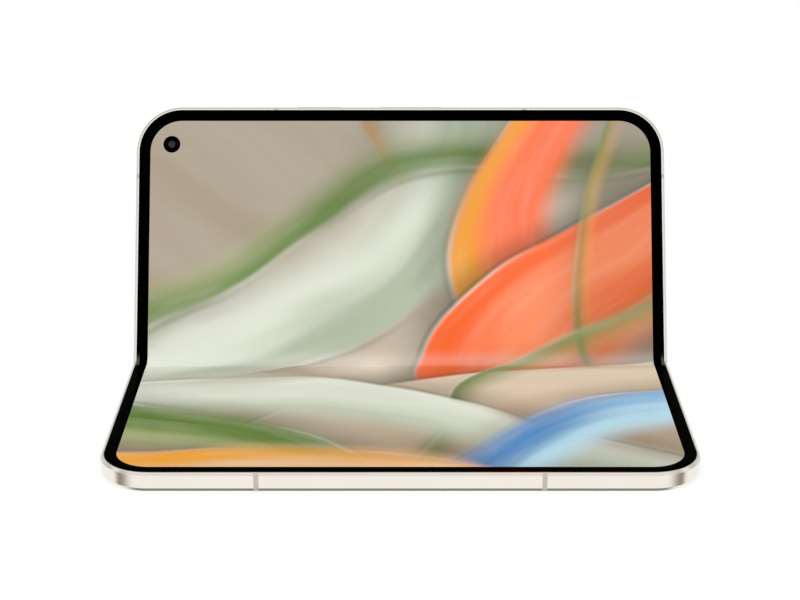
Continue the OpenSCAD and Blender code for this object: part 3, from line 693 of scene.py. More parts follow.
@dataclass(frozen=True)
class Finish:
    """One finish, by the record's slot.

    Args:
        name: the slot.
        colour: main colour, linear.
        tint: second colour, which the detail brings in.
        texture: kind of detail.
        rough: lowest and highest roughness.
        metallic: 1 for metal.
        specular: strength of the plain reflection.
        coat: weight of a clear coat.
        scale: fineness of the detail, per metre.
        depth: height of the relief.
        variation: how much of the second colour shows.
        coat_rough: roughness of the clear coat.
    """

    name: str
    colour: Colour
    tint: Colour
    texture: Texture = Texture.GRAIN
    rough: tuple[float, float] = (0.3, 0.45)
    metallic: float = 0.0
    specular: float = 0.5
    coat: float = 0.0
    scale: float = 2600.0
    depth: float = 0.000006
    variation: float = 0.35
    coat_rough: ClassVar[float] = 0.08

    def material(self, effects: Effects) -> Material:
        """Builds the material.

        Args:
            effects: the shared node groups.

        Returns:
            The finished material.
        """
        made, graph = new_material("finish_" + self.name)
        mask, surface = self.detail(graph, effects, graph.object_place())
        colour = graph.mix(graph.product(mask, self.variation), self.colour, self.tint)
        graph.give(made.node_tree.nodes["Principled BSDF"], surface | {
            "Base Color": colour, "Metallic": self.metallic, "Specular IOR Level": self.specular,
            "Coat Weight": self.coat, "Coat Roughness": self.coat_rough})
        return made

    def detail(self, graph: Graph, effects: Effects, where: Socket) -> tuple[Socket, dict[str, Socket]]:
        """Adds the surface detail.

        Args:
            graph: the material's graph.
            effects: the shared node groups.
            where: coordinates.

        Returns:
            The share of the second colour, and what the shader's inputs for the surface take.
        """
        inputs = {"Vector": where, "Low": self.rough[0], "High": self.rough[1]}
        if self.texture is Texture.GLASS:
            kind = effects.smudge
        elif self.texture is Texture.BRUSHED:
            kind = effects.brushed
            inputs["Scale"] = self.scale
        else:
            kind = effects.grain
            inputs |= {"Scale": self.scale, "Depth": self.depth}
        made = graph.node("ShaderNodeGroup", inputs, node_tree=kind).outputs
        mask = made["Mask"]
        surface = {label: made[label] for label in ("Roughness", "Normal") if label in made}
        if self.texture is Texture.TRACES:
            tracks = {"Vector": where, "Scale": 260.0, "Mortar Size": 0.03}
            cells = graph.node("ShaderNodeTexBrick", tracks, offset=0.37).outputs["Fac"]
            mask = graph.math("MAXIMUM", cells, graph.product(mask, 0.3))
        if self.texture is Texture.WRAP:
            surface["Normal"] = graph.bump(graph.noise(where, 130.0), 0.4, 0.0001)
        return mask, surface


MACHINED = {"metallic": 1.0, "scale": 6000.0, "depth": 0.0000015}
FINISHES = (
    Finish("frame_metal", srgb(246, 240, 230), srgb(234, 227, 216), rough=(0.17, 0.26), **MACHINED),
    Finish("key_metal", srgb(243, 238, 230), srgb(230, 223, 212), rough=(0.14, 0.22), **MACHINED),
    Finish("spine_metal", srgb(236, 230, 219), srgb(221, 213, 200), rough=(0.13, 0.22), **MACHINED),
    Finish("spine_cap_metal", srgb(92, 92, 82), srgb(58, 58, 50), metallic=0.8, scale=5000.0),
    Finish("antenna_plastic", srgb(210, 203, 195), srgb(196, 188, 179), rough=(0.38, 0.5), specular=0.3,
           scale=7000.0, depth=0.000002),
    Finish("cover_glass", srgb(9, 9, 11), srgb(16, 17, 20), Texture.GLASS, (0.03, 0.12), coat=0.6),
    Finish("back_glass", srgb(236, 231, 221), srgb(226, 219, 207), rough=(0.3, 0.42), coat=0.35,
           scale=9000.0, depth=0.000001),
    Finish("lens_glass", srgb(7, 8, 13), srgb(28, 22, 52), Texture.GLASS, (0.02, 0.06), specular=0.25,
           coat=0.3, variation=0.8),
    Finish("flash_glass", srgb(238, 232, 205), srgb(250, 247, 232), rough=(0.12, 0.25), coat=0.6,
           depth=0.00002),
    Finish("screen_border", (0.0002, 0.0002, 0.0002), srgb(3, 3, 3), Texture.GLASS, (0.16, 0.26),
           specular=0.002, variation=0.5),
    Finish("panel_black", srgb(14, 14, 17), srgb(30, 30, 34), rough=(0.35, 0.55)),
    Finish("battery_wrap", srgb(40, 42, 46), srgb(66, 68, 72), Texture.WRAP, (0.35, 0.5)),
    Finish("board_green", srgb(28, 84, 60), srgb(168, 138, 70), Texture.TRACES, coat=0.3, variation=0.6),
    Finish("chip_black", srgb(22, 22, 24), srgb(52, 52, 54), rough=(0.5, 0.7), depth=0.00001),
    Finish("can_steel", srgb(186, 188, 190), srgb(150, 152, 155), Texture.BRUSHED, (0.24, 0.4), 1.0),
    Finish("module_grey", srgb(58, 60, 64), srgb(92, 94, 98), rough=(0.4, 0.6), metallic=0.3),
    Finish("copper", srgb(196, 122, 82), srgb(150, 84, 52), Texture.BRUSHED, (0.25, 0.4), 1.0),
    Finish("flex_amber", srgb(176, 104, 28), srgb(120, 66, 14), Texture.WRAP, (0.2, 0.35), coat=0.4),
    Finish("hinge_steel", srgb(188, 186, 182), srgb(140, 138, 134), Texture.BRUSHED, (0.2, 0.34), 1.0),
    Finish("gear_steel", srgb(172, 166, 150), srgb(120, 114, 100), Texture.BRUSHED, (0.18, 0.3), 1.0),
    Finish("screw_steel", srgb(132, 132, 136), srgb(92, 92, 96), Texture.BRUSHED, (0.25, 0.4), 1.0),
)


@dataclass(frozen=True)
class Silk:
    """One sheet of the picture: each field is the silk group's input of that name.

    Args:
        near: colour by the sheet's edge.
        far: colour further in.
        turn: direction of the edge, in radians.
        offset: place of the edge across that direction.
        bow: how much the edge bows.
        wave: height of its waves.
        beat: how close they are.
        phase: where they start.
        softness: blur of the edge.
        width: width of the sheet.
        fade: blur of its far side.
        depth: distance over which near turns to far.
        streak: strength of the folds.
        line: strength of the lines along the edge.
        shade: strength of the shadow that it casts.
    """

    near: Colour
    far: Colour
    turn: float
    offset: float
    bow: float = 0.0
    wave: float = 0.05
    beat: float = 5.0
    phase: float = 0.0
    softness: float = 0.03
    width: float = 2.0
    fade: float = 0.1
    depth: float = 0.3
    streak: float = 0.5
    line: float = 0.2
    shade: float = 0.25


TAN = srgb(206, 178, 146)
SAND = srgb(222, 203, 177)
PALE = srgb(230, 217, 198)
SAGE = srgb(178, 190, 166)
MIST = srgb(218, 222, 206)
ORANGE = srgb(252, 100, 34)
PEACH = srgb(252, 138, 74)
AMBER = srgb(238, 158, 32)
GREEN = srgb(84, 120, 36)
MOSS = srgb(140, 156, 88)
BLUE = srgb(62, 134, 194)
SKY = srgb(160, 204, 222)


@dataclass(frozen=True)
class Picture:
    """What the inner display shows: soft waves of silk, one over another, in warm and leafy tones.

    Args:
        sheets: the silks, from the lowest to the topmost.
        warp: how far the noise moves the picture.
        warp_scale: fineness of that noise.
        crease: strength of the painted highlight along the fold, a light line that stands in for the
            reflection on the bent film.
        crease_w: half of its width.
        glow: strength of the light.
    """

    sheets: tuple[Silk, ...] = (
        Silk(SAND, PALE, 0.35, 0.30, bow=0.5, beat=6.0, phase=0.5, softness=0.06, depth=0.5,
             streak=0.18, shade=0.12),
        Silk(AMBER, MOSS, 0.55, 0.78, bow=0.9, wave=0.02, beat=11.0, phase=1.2, width=0.035,
             fade=0.05, depth=0.1, line=0.1, shade=0.1),
        Silk(SAGE, MIST, -0.75, 0.60, bow=0.4, wave=0.04, beat=6.0, phase=0.9, softness=0.05,
             width=0.22, fade=0.08, shade=0.35),
        Silk(GREEN, MOSS, -0.45, 0.83, bow=-0.4, wave=0.03, beat=9.0, phase=2.0, width=0.06,
             fade=0.05, depth=0.1, shade=0.2),
        Silk(AMBER, ORANGE, 1.25, 0.62, bow=1.4, wave=0.03, beat=9.0, phase=2.4, width=0.22,
             fade=0.05, depth=0.18, streak=0.4, shade=0.3),
        Silk(ORANGE, PEACH, 1.75, 0.58, bow=1.5, wave=0.035, beat=8.0, phase=0.8, softness=0.012,
             width=0.36, fade=0.06, depth=0.55, streak=0.42, line=0.35, shade=0.5),
        Silk(GREEN, AMBER, 1.35, 0.86, bow=0.8, wave=0.03, beat=7.0, phase=0.1, softness=0.015,
             width=0.02, fade=0.03, depth=0.05, line=0.1, shade=0.2),
        Silk(SAND, TAN, 2.65, 0.60, bow=0.55, beat=5.5, phase=0.2, depth=0.4, line=0.3, shade=0.4),
        Silk(GREEN, MOSS, 2.2, 0.70, bow=0.5, wave=0.03, beat=9.0, phase=0.6, softness=0.02,
             width=0.03, fade=0.04, depth=0.08, line=0.1, shade=0.1),
        Silk(MIST, SAGE, 3.45, 0.66, bow=0.3, wave=0.04, beat=6.5, phase=1.4, width=0.16,
             fade=0.07, depth=0.2, line=0.3, shade=0.4),
        Silk(BLUE, SKY, 2.45, 0.90, bow=0.25, wave=0.03, beat=8.0, phase=1.2, width=0.17,
             fade=0.05, depth=0.14, shade=0.3),
        Silk(GREEN, MOSS, 3.75, 0.92, bow=0.2, wave=0.03, beat=8.0, phase=1.0, width=0.16,
             fade=0.06, depth=0.14, shade=0.3),
        Silk(AMBER, SAND, 3.3, 0.955, bow=0.2, wave=0.015, beat=9.0, phase=0.3, depth=0.08,
             line=0.1, shade=0.2),
    )
    warp: float = 0.13
    warp_scale: float = 1.9
    # Strength and half width of the painted highlight along the fold, which stands in for the reflection on
    # the bent film
    crease: float = 0.12
    crease_w: float = 0.035
    glow: float = 1.1

    def material(self, effects: Effects) -> Material:
        """Builds the glowing material of the inner display, on the picture's own UV map.

        Args:
            effects: the shared node groups.

        Returns:
            The finished material.
        """
        made, graph = new_material("finish_screen_film")
        place = graph.node("ShaderNodeUVMap", uv_map="picture").outputs[0]
        swirl = graph.node("ShaderNodeTexNoise", {"Vector": place, "Scale": self.warp_scale, "Detail": 1.5})
        shift = graph.vector("SUBTRACT", {0: swirl.outputs["Color"], 1: Vector((0.5, 0.5, 0.5))})
        shift = graph.vector("SCALE", {0: shift, "Scale": self.warp})
        warped = graph.vector("ADD", {0: place, 1: shift})
        ground = graph.spread(graph.noise(warped, 2.2, 2.0), 0.35, 0.65, smooth=True)
        colour = graph.mix(ground, TAN, SAND)
        for silk in self.sheets:
            inputs = {label.title(): value for label, value in asdict(silk).items()}
            inputs |= {"Vector": warped, "Under": colour}
            colour = graph.node("ShaderNodeGroup", inputs, node_tree=effects.silk).outputs[0]
        depth = graph.node("ShaderNodeSeparateXYZ", {0: place}).outputs[1]
        # Painted highlight: a pale band mixed into the picture's colour along the fold, standing in for the
        # reflection on the bent film
        away = graph.math("ABSOLUTE", graph.math("SUBTRACT", depth, 0.5))
        crease = graph.spread(away, 0.0, self.crease_w, 1.0, 0.0, smooth=True)
        colour = graph.mix(graph.product(crease, self.crease), colour, (1.0, 1.0, 0.97))
        wipes = {"Vector": graph.object_place(), "Low": 0.12, "High": 0.24}
        wipes = graph.node("ShaderNodeGroup", wipes, node_tree=effects.smudge)
        graph.give(made.node_tree.nodes["Principled BSDF"], {
            "Base Color": (0.004, 0.004, 0.004), "Specular IOR Level": 0.02,
            "Roughness": wipes.outputs["Roughness"], "Emission Color": colour,
            "Emission Strength": graph.spread(depth, -0.6, -0.4, 0.0, self.glow)})
        return made


class Finishes:
    """Every material, built once, by the record's slot."""

    def __init__(self) -> None:
        """Builds the shared groups and the materials."""
        effects = Effects.build()
        self.by_slot = {finish.name: finish.material(effects) for finish in FINISHES}
        self.by_slot["screen_film"] = Picture().material(effects)

    def __getitem__(self, slot: str) -> Material:
        """The material of a slot."""
        return self.by_slot[slot]

    def dress_nodes(self) -> None:
        """Gives each CAD node the material of its slot."""
        for name, node in frame["nodes"].items():
            for place in node.material_slots:
                slot = place.material.name.split(".")[0]
                place.material = self.by_slot[slot]
            LOG.info("%s: CAD node dressed", name)


# ---- Sub-assemblies ----


@dataclass
class Assembly:
    """A sub-assembly.

    Args:
        layout: the phone's sizes.
        finishes: the materials.
    """

    layout: Layout
    finishes: Finishes

    def points(self, node: str) -> list[Vector]:
        """A lid node's points, in half coordinates."""
        inward = self.layout.place(Side.LID).inverted()
        return [inward @ v.co for v in frame["nodes"][node].data.vertices]

    def add(self, bm: BMesh, name: str, slot: str, body: str, place: Matrix | None = None,
            instead: str = "", crisp: float = CRISP, ends: tuple[Vector, Vector] | None = None) -> None:
        """Makes a piece of a finished shape, which rides on a body, or stays unattached in place when it has
        ends.

        Args:
            bm: the shape, which is freed.
            name: the piece's name.
            slot: the record's slot that it takes its finish from.
            body: the body.
            place: matrix that lays it in the row frame, if it isn't there yet.
            instead: the node that it replaces, if any.
            crisp: edges sharper than this, in degrees, stay crisp.
            ends: where the bending starts and ends, the base's end first; a piece that has them is not
                attached to a body. A rigid piece has none.
        """
        if place is not None:
            bmesh.ops.transform(bm, matrix=place, verts=bm.verts)
            if place.determinant() < 0:
                bmesh.ops.reverse_faces(bm, faces=bm.faces[:])
        for face in bm.faces:
            face.smooth = True
        for edge in bm.edges:
            edge.smooth = len(edge.link_faces) == 2 and edge.calc_face_angle() < math.radians(crisp)
        mesh = bpy.data.meshes.new(name)
        bm.to_mesh(mesh)
        bm.free()
        made = bpy.data.objects.new(name, mesh)
        bpy.context.scene.collection.objects.link(made)
        mesh.materials.append(self.finishes[slot])
        if ends is None:
            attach(made, body)
        else:
            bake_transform(made)
        if instead:
            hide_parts(instead)
        LOG.info("%s: %d faces, slot %s", name, len(mesh.polygons), slot)


@dataclass
class InnerDisplay(Assembly):
    """The folding display: two flat screens, two bending strips between them, and the black border.

    Args:
        border: width of the black border.
        tuck: how far the screens stay back from the border's outer edge.
        border_t: height of the border over the screen.
        border_r: rounding of the border's upper edges.
        screen_t: thickness of the screens.
        film_t: thickness of the bending strips.
        flat_from: distance from the fold where the flat screens start.
        bend_to: distance from the fold where the strips stop bending.
        narrow: how much the display is narrower beside the spine's ends.
        notch: length of that stretch, by the half.
        rows: divisions of a strip along its depth.
        overlap: how far the strips reach past the fold, and under their border.
        halvings: steps of the search for a point's turn.
        still: a smaller share of a turn than this is none.
        crisp: the strips' edges sharper than this, in degrees, stay crisp.
    """

    border: float = 3.15 * MM
    tuck: float = 0.4 * MM
    border_t: float = 0.12 * MM
    border_r: float = 0.05 * MM
    screen_t: float = 0.55 * MM
    film_t: float = 0.25 * MM
    flat_from: float = 7.35 * MM
    bend_to: float = 3.4 * MM
    narrow: float = 0.9 * MM
    notch: ClassVar[dict[Side, float]] = {Side.BASE: 2.6 * MM, Side.LID: 3.3 * MM}
    rows: int = 42
    overlap: float = 0.1 * MM
    halvings: int = 40
    still: float = 1e-9
    crisp: float = 60.0

    def map_picture(self, bm: BMesh, side: Side) -> None:
        """Adds the picture's UV map: U runs along the hinge, and V over the depth of both halves.

        Faces that don't face up get a place off the picture, where the material doesn't glow.

        Args:
            bm: the shape, in half coordinates.
            side: its half.
        """
        bm.normal_update()
        layer = bm.loops.layers.uv.new("picture")
        reach = self.layout.half_w - self.layout.edge - self.border
        depth = self.layout.half_d - self.layout.edge - self.border
        way = 1 if side is Side.LID else -1
        for face in bm.faces:
            for loop in face.loops:
                x, y, _ = loop.vert.co
                shown = (0.5 + x / (2 * reach), 0.5 + way * y / (2 * depth))
                loop[layer].uv = shown if face.normal.z > 0.5 else (0.0, -1.0)

    def screen(self, side: Side) -> None:
        """Builds one flat screen.

        Args:
            side: its half.
        """
        bm = half_sheet(self.layout, self.layout.edge + self.tuck, self.flat_from)
        thicken(bm, self.screen_t)
        self.map_picture(bm, side)
        self.add(bm, side.value + "_screen", "screen_film", side.value, self.layout.place(side),
                 side.value + "_display")

    def border_ring(self, side: Side) -> None:
        """Builds the border on three sides of one screen.

        Args:
            side: the screen's half.
        """
        bm = half_sheet(self.layout, self.layout.edge, 0.0)
        bmesh.ops.inset_region(bm, faces=bm.faces[:], thickness=self.border, use_even_offset=True,
                               use_boundary=True)
        bmesh.ops.delete(bm, geom=[max(bm.faces, key=lambda face: face.calc_area())], context="FACES")
        cut(bm, OUTWARDS * self.flat_from, OUTWARDS, clear_inner=True)
        lift(bm, self.border_t)
        thicken(bm, self.border_t)
        soften(bm, self.border_t, self.border_r, near=self.flat_from)
        self.add(bm, side.value + "_border_ring", "screen_border", side.value, self.layout.place(side),
                 side.value + "_border")

    def strip_border(self, side: Side) -> BMesh:
        """The border on the right of a bending strip, flat, in half coordinates.

        Args:
            side: the half that the strip joins to the spine.

        Returns:
            A new bmesh.
        """
        outer = self.layout.half_w - self.layout.edge
        bm = sheet((outer - self.border, -self.overlap), (outer, self.flat_from), (3, self.rows))
        step = sorted({round(v.co.x, 9) for v in bm.verts})[2]
        for vert in bm.verts:
            if abs(vert.co.x - step) < NEAR:
                vert.co.x = outer - self.narrow
        middles = {face: face.calc_center_median() for face in bm.faces}
        notched = [face for face, at in middles.items()
                   if at.x > outer - self.narrow and at.y < self.notch[side]]
        bmesh.ops.delete(bm, geom=notched, context="FACES")
        return bm

    def strip_faces(self, side: Side) -> tuple[BMesh, BMesh]:
        """The strip's screen and its two borders, flat, in half coordinates.

        Args:
            side: the half that the strip joins to the spine.

        Returns:
            A new bmesh of the screen, and one of the borders.
        """
        reach = self.layout.half_w - self.layout.edge - self.border + self.overlap
        film = sheet((-reach, -self.overlap), (reach, self.flat_from), (24, self.rows))
        left, right = self.strip_border(side), self.strip_border(side)
        bmesh.ops.scale(left, vec=(-1, 1, 1), verts=left.verts)
        bmesh.ops.reverse_faces(left, faces=left.faces[:])
        return film, join(left, right)

    def curl(self, bm: BMesh, side: Side) -> tuple[Vector, Vector]:
        """Bends a flat strip to its rest shape, so that it is flat again when the phone is.

        Args:
            bm: the strip, in half coordinates.
            side: the half that it joins to the spine.

        Returns:
            Where the bending starts and ends, for the blend between the two bodies.
        """
        layout = self.layout
        lid = side is Side.LID
        laid = layout.place(Side.SPINE) if lid else layout.place(Side.BASE)
        fold = layout.place(Side.SPINE) @ Vector((0, 0, 0))
        tip = layout.place(side) @ Vector((0, self.bend_to, 0))
        start, end = (fold, tip) if lid else (tip, fold)
        path = end - start
        y, z = layout.pivot(side)

        def turned(point: Vector, share: float) -> Vector:
            """The point after a share of the full turn."""
            return turn_about(y, z, layout.bend * share) @ point

        def lead(point: Vector, share: float) -> float:
            """How far the blend's own share is ahead of this one."""
            t = max(0.0, min(1.0, (turned(point, share) - start).dot(path) / path.length_squared))
            return t * t * (3 - 2 * t) - share

        for vert in bm.verts:
            point = laid @ vert.co
            low, high = 0.0, 1.0
            for _ in range(self.halvings):
                middle = (low + high) / 2
                if lead(point, middle) > 0:
                    low = middle
                else:
                    high = middle
            vert.co = turned(point, high if high > self.still else 0.0)
        if laid.determinant() < 0:
            bmesh.ops.reverse_faces(bm, faces=bm.faces[:])
        return start, end

    def strip(self, side: Side) -> None:
        """Builds the bending strip between the spine and one half, and its border.

        Args:
            side: the half.
        """
        film, border = self.strip_faces(side)
        thicken(film, self.film_t)
        lift(border, self.border_t)
        thicken(border, self.border_t + self.film_t)
        self.map_picture(film, side)
        for bm, slot, name in ((film, "screen_film", "film"), (border, "screen_border", "border")):
            ends = self.curl(bm, side)
            self.add(bm, f"{side.value}_fold_{name}", slot, side.value, instead="display_fold",
                     crisp=self.crisp, ends=ends)

    def build(self) -> None:
        """Builds the whole display."""
        for side in (Side.BASE, Side.LID):
            self.screen(side)
            self.border_ring(side)
            self.strip(side)


@dataclass
class HingeCables(Assembly):
    """The flat cables across the hinge, parted at the spine's middle, one piece for each half.

    Args:
        lead: distance from a fold axis to the end of the stretch that is given as the cables' ends.
        cuts: extra rows of vertices along that stretch.
    """

    lead: float = 3.4 * MM
    cuts: int = 14

    def half(self, side: Side) -> None:
        """Builds the cables from one half to the spine's middle.

        Args:
            side: the half.
        """
        lid = side is Side.LID
        axis = Vector((0, *self.layout.pivot(side)))
        middle = (axis + Vector((0, *self.layout.pivot(Side.BASE if lid else Side.LID)))) / 2
        outwards = self.layout.place(side).to_3x3() @ OUTWARDS
        bm = bmesh.new()
        bm.from_mesh(frame["nodes"]["hinge_flex"].data)
        bmesh.ops.remove_doubles(bm, verts=bm.verts[:], dist=NEAR)
        rim = cut(bm, middle, middle - axis, clear_outer=True)
        bmesh.ops.holes_fill(bm, edges=rim, sides=0)
        for step in range(self.cuts):
            cut(bm, axis + outwards * self.lead * (1 - step / self.cuts), outwards)
        leave = axis + outwards * self.lead
        ends = (middle, leave) if lid else (leave, middle)
        self.add(bm, side.value + "_flat_cables", "flex_amber", side.value, instead="hinge_flex", ends=ends)

    def build(self) -> None:
        """Builds both halves."""
        self.half(Side.BASE)
        self.half(Side.LID)


@dataclass
class InnerCamera(Assembly):
    """The round window of the inner camera, and its lens.

    Args:
        radius: radius of the window.
        proud: height of the window over the screen.
        rim: width and height of its slanted rim.
        window_foot: depth of its foot under the screen.
        lens_r: radius of the lens.
        lens_h: height of the lens's dome.
        lens_foot: depth of the lens's foot under the dome.
    """

    radius: float = 2.5 * MM
    proud: float = 0.03 * MM
    rim: tuple[float, float] = (0.1 * MM, 0.02 * MM)
    window_foot: float = 0.5 * MM
    lens_r: float = 1.05 * MM
    lens_h: float = 0.10 * MM
    lens_foot: float = 0.2 * MM

    def build(self) -> None:
        """Builds the window over the CAD camera, with the lens bulging in its middle."""
        low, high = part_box("inner_camera")
        laid = self.layout.place(Side.LID)
        middle = laid.inverted() @ ((low + high) / 2)
        place = laid @ Matrix.Translation((middle.x, middle.y, 0))
        top, r = self.proud, self.radius
        window = lathe([(0, top), (r - self.rim[0], top), (r, top - self.rim[1]), (r, -self.window_foot),
                        (0, -self.window_foot)], 64)
        self.add(window, "inner_camera_window", "screen_border", "lid", place)
        lens = dome(self.lens_r, top, self.lens_h, self.lens_foot, 8)
        self.add(lens, "inner_camera_lens", "lens_glass", "lid", place)


@dataclass
class RearCameras(Assembly):
    """The camera island on the lid's back, with a ring and a stepped lens for each camera, and the flash.

    Args:
        body_h: height of the island's body over the lid's back.
        sunk: how far the body reaches into the lid.
        full_h: height of the rings.
        corner: radius of the body's corners.
        shoulder: radius of its upper edge.
        ring_r: outer radius of a ring.
        glass_r: radius of the glass in it.
        room: room round a barrel in its pocket.
        rim: the ring's outer profile, as (out, up) from its upper outer corner.
        lip: its inner profile, from its upper inner corner.
        seat: depth of the glass, and of the ring's foot in the body.
        floor: height of a barrel's foot.
        gap: gap between a barrel and its ring.
        crisp: the turned pieces' edges sharper than this, in degrees, stay crisp.
        treads: number of steps in a barrel.
        tread: width of a step.
        slope: how far its wall leans in.
        drop: depth of a step.
        lens_h: height of a lens's dome.
        lens_foot: depth of a lens's foot under the dome.
        flash_r: radius of the flash's window.
        flash_t: its thickness.
        flash_h: its height over the body.
        flash_rings: number of rings in it, which rise and fall by turns.
        flash_step: depth of those rings.
        flash_crisp: the window's edges sharper than this, in degrees, stay crisp.
        pupils: radius of each camera's lens.
    """

    body_h: float = 1.95 * MM
    sunk: float = 0.3 * MM
    full_h: float = 2.4 * MM
    corner: float = 12.0 * MM
    shoulder: float = 0.7 * MM
    ring_r: float = 7.2 * MM
    glass_r: float = 6.1 * MM
    room: float = 0.2 * MM
    rim: ClassVar[tuple] = ((0.0, -0.25 * MM), (-0.07 * MM, -0.1 * MM), (-0.25 * MM, 0.0))
    lip: ClassVar[tuple] = ((0.25 * MM, 0.0), (0.08 * MM, -0.06 * MM), (0.0, -0.2 * MM))
    seat: float = 0.2 * MM
    floor: float = 0.4 * MM
    gap: float = 0.02 * MM
    crisp: float = 30.0
    treads: int = 4
    tread: float = 0.35 * MM
    slope: float = 0.08 * MM
    drop: float = 0.16 * MM
    lens_h: float = 0.45 * MM
    lens_foot: float = 0.1 * MM
    flash_r: float = 1.7 * MM
    flash_t: float = 0.6 * MM
    flash_h: float = 0.05 * MM
    flash_rings: int = 12
    flash_step: float = 0.06 * MM
    flash_crisp: float = 20.0
    pupils: ClassVar[dict[str, float]] = {"ultrawide": 1.7 * MM, "main": 2.4 * MM, "tele": 2.0 * MM}

    def back_place(self, middle: Vector) -> Matrix:
        """Place on the lid's back, with Z pointing out of it."""
        away = Matrix.Translation((middle.x, middle.y, self.layout.back_z)) @ Matrix.Scale(-1, 4, (0, 0, 1))
        return self.layout.place(Side.LID) @ away

    def in_half(self, node: str) -> tuple[Vector, Vector]:
        """A lid node's middle and its half extents, in half coordinates.

        Args:
            node: the node's name.

        Returns:
            The middle and the half extents.
        """
        points = self.points(node)
        low = Vector(min(p[i] for p in points) for i in range(3))
        high = Vector(max(p[i] for p in points) for i in range(3))
        return (low + high) / 2, (high - low) / 2

    def sink(self, bm: BMesh, centres: list[Vector]) -> None:
        """Sinks a round pocket for each camera into the body's top.

        Args:
            bm: the body.
            centres: the pockets' middles.
        """
        top = next(f for f in bm.faces if all(abs(v.co.z - self.body_h) < NEAR for v in f.verts))
        fill = top.edges[:]
        bmesh.ops.delete(bm, geom=[top], context="FACES_ONLY")
        mouths = []
        for middle in centres:
            place = Matrix.Translation((middle.x, middle.y, self.body_h))
            made = bmesh.ops.create_circle(bm, radius=self.glass_r + self.room, segments=72, matrix=place)
            mouths.append(list({edge for vert in made["verts"] for edge in vert.link_edges}))
            fill += mouths[-1]
        bmesh.ops.triangle_fill(bm, use_beauty=True, edges=fill)
        for mouth in mouths:
            grown = bmesh.ops.extrude_edge_only(bm, edges=mouth)["geom"]
            bottom = [part for part in grown if isinstance(part, Vert)]
            bmesh.ops.translate(bm, vec=(0, 0, -self.body_h), verts=bottom)
            bmesh.ops.contextual_create(bm, geom=[e for e in grown if isinstance(e, Edge)
                                                  and all(v in bottom for v in e.verts)])
        bmesh.ops.recalc_face_normals(bm, faces=bm.faces[:])

    def body(self) -> None:
        """Builds the island's body with a rounded shoulder and a pocket for each camera."""
        middle, reach = self.in_half("camera_island")
        bm = slab((reach.x, reach.y), self.corner, 16, self.body_h, self.body_h + self.sunk)
        soften(bm, self.body_h, self.shoulder, 6)
        self.sink(bm, [self.in_half(label + "_camera")[0] - middle for label in self.pupils])
        self.add(bm, "island_body", "frame_metal", "lid", self.back_place(middle), "camera_island")

    def camera(self, label: str, place: Matrix, pupil: float) -> None:
        """Builds one camera: its ring, its glass and its stepped barrel round a domed lens.

        Args:
            label: start of the pieces' names.
            place: where it is.
            pupil: radius of the lens.
        """
        top, out, glass, foot = self.full_h, self.ring_r, self.glass_r, self.body_h - self.seat
        rim = [(out + across, top + up) for across, up in self.rim]
        lip = [(glass + across, top + up) for across, up in self.lip]
        ring = lathe([(out, foot), *rim, *lip, (glass, foot)], 72)
        self.add(ring, label + "_ring", "frame_metal", "lid", place, crisp=self.crisp)
        r, z = pupil + self.treads * self.tread, top - self.seat
        well = [(0, self.floor), (glass - self.gap, self.floor), (glass - self.gap, z)]
        for _ in range(self.treads):
            well += [(r, z), (r - self.slope, z - self.drop)]
            r, z = r - self.tread, z - self.drop
        well += [(pupil, z), (0, z)]
        self.add(lathe(well, 72), label + "_barrel", "cover_glass", "lid", place, "lens_covers", self.crisp)
        lens = dome(pupil, z, self.lens_h, self.lens_foot, 10)
        self.add(lens, label + "_lens", "lens_glass", "lid", place)

    def flash(self) -> None:
        """Builds the flash's window with its round steps."""
        top, r, count = self.body_h + self.flash_h, self.flash_r, self.flash_rings
        rings = [(r * (1 - i / count), top - self.flash_step * (i % 2)) for i in range(1, count)]
        bm = lathe([(0, top - self.flash_t), (r, top - self.flash_t), (r, top), *rings,
                    (0, top - self.flash_step / 2)])
        place = self.back_place(self.in_half("flash_window")[0])
        self.add(bm, "flash_lens", "flash_glass", "lid", place, "flash_window", self.flash_crisp)

    def build(self) -> None:
        """Builds the island and all that is on it."""
        self.body()
        for label, pupil in self.pupils.items():
            self.camera(label, self.back_place(self.in_half(label + "_camera")[0]), pupil)
        self.flash()


@dataclass
class BackPanels(Assembly):
    """The glass backs of the two halves, with softened edges.

    Args:
        near: distance of a panel's near edge from the fold.
        glass_t: its thickness.
        edge_r: rounding of its outer edges.
    """

    near: float = 6.3 * MM
    glass_t: float = 0.65 * MM
    edge_r: float = 0.12 * MM

    def panel(self, side: Side, node: str) -> None:
        """Builds the panel of one half.

        Args:
            side: the half.
            node: name of the CAD panel, and of its slot.
        """
        bm = half_sheet(self.layout, self.layout.edge, self.near)
        thicken(bm, self.glass_t)
        lift(bm, self.layout.back_z + self.glass_t)
        soften(bm, self.layout.back_z, self.edge_r)
        self.add(bm, side.value + "_back_panel", node, side.value, self.layout.place(side), node)

    def build(self) -> None:
        """Builds both panels."""
        self.panel(Side.BASE, "cover_glass")
        self.panel(Side.LID, "back_glass")


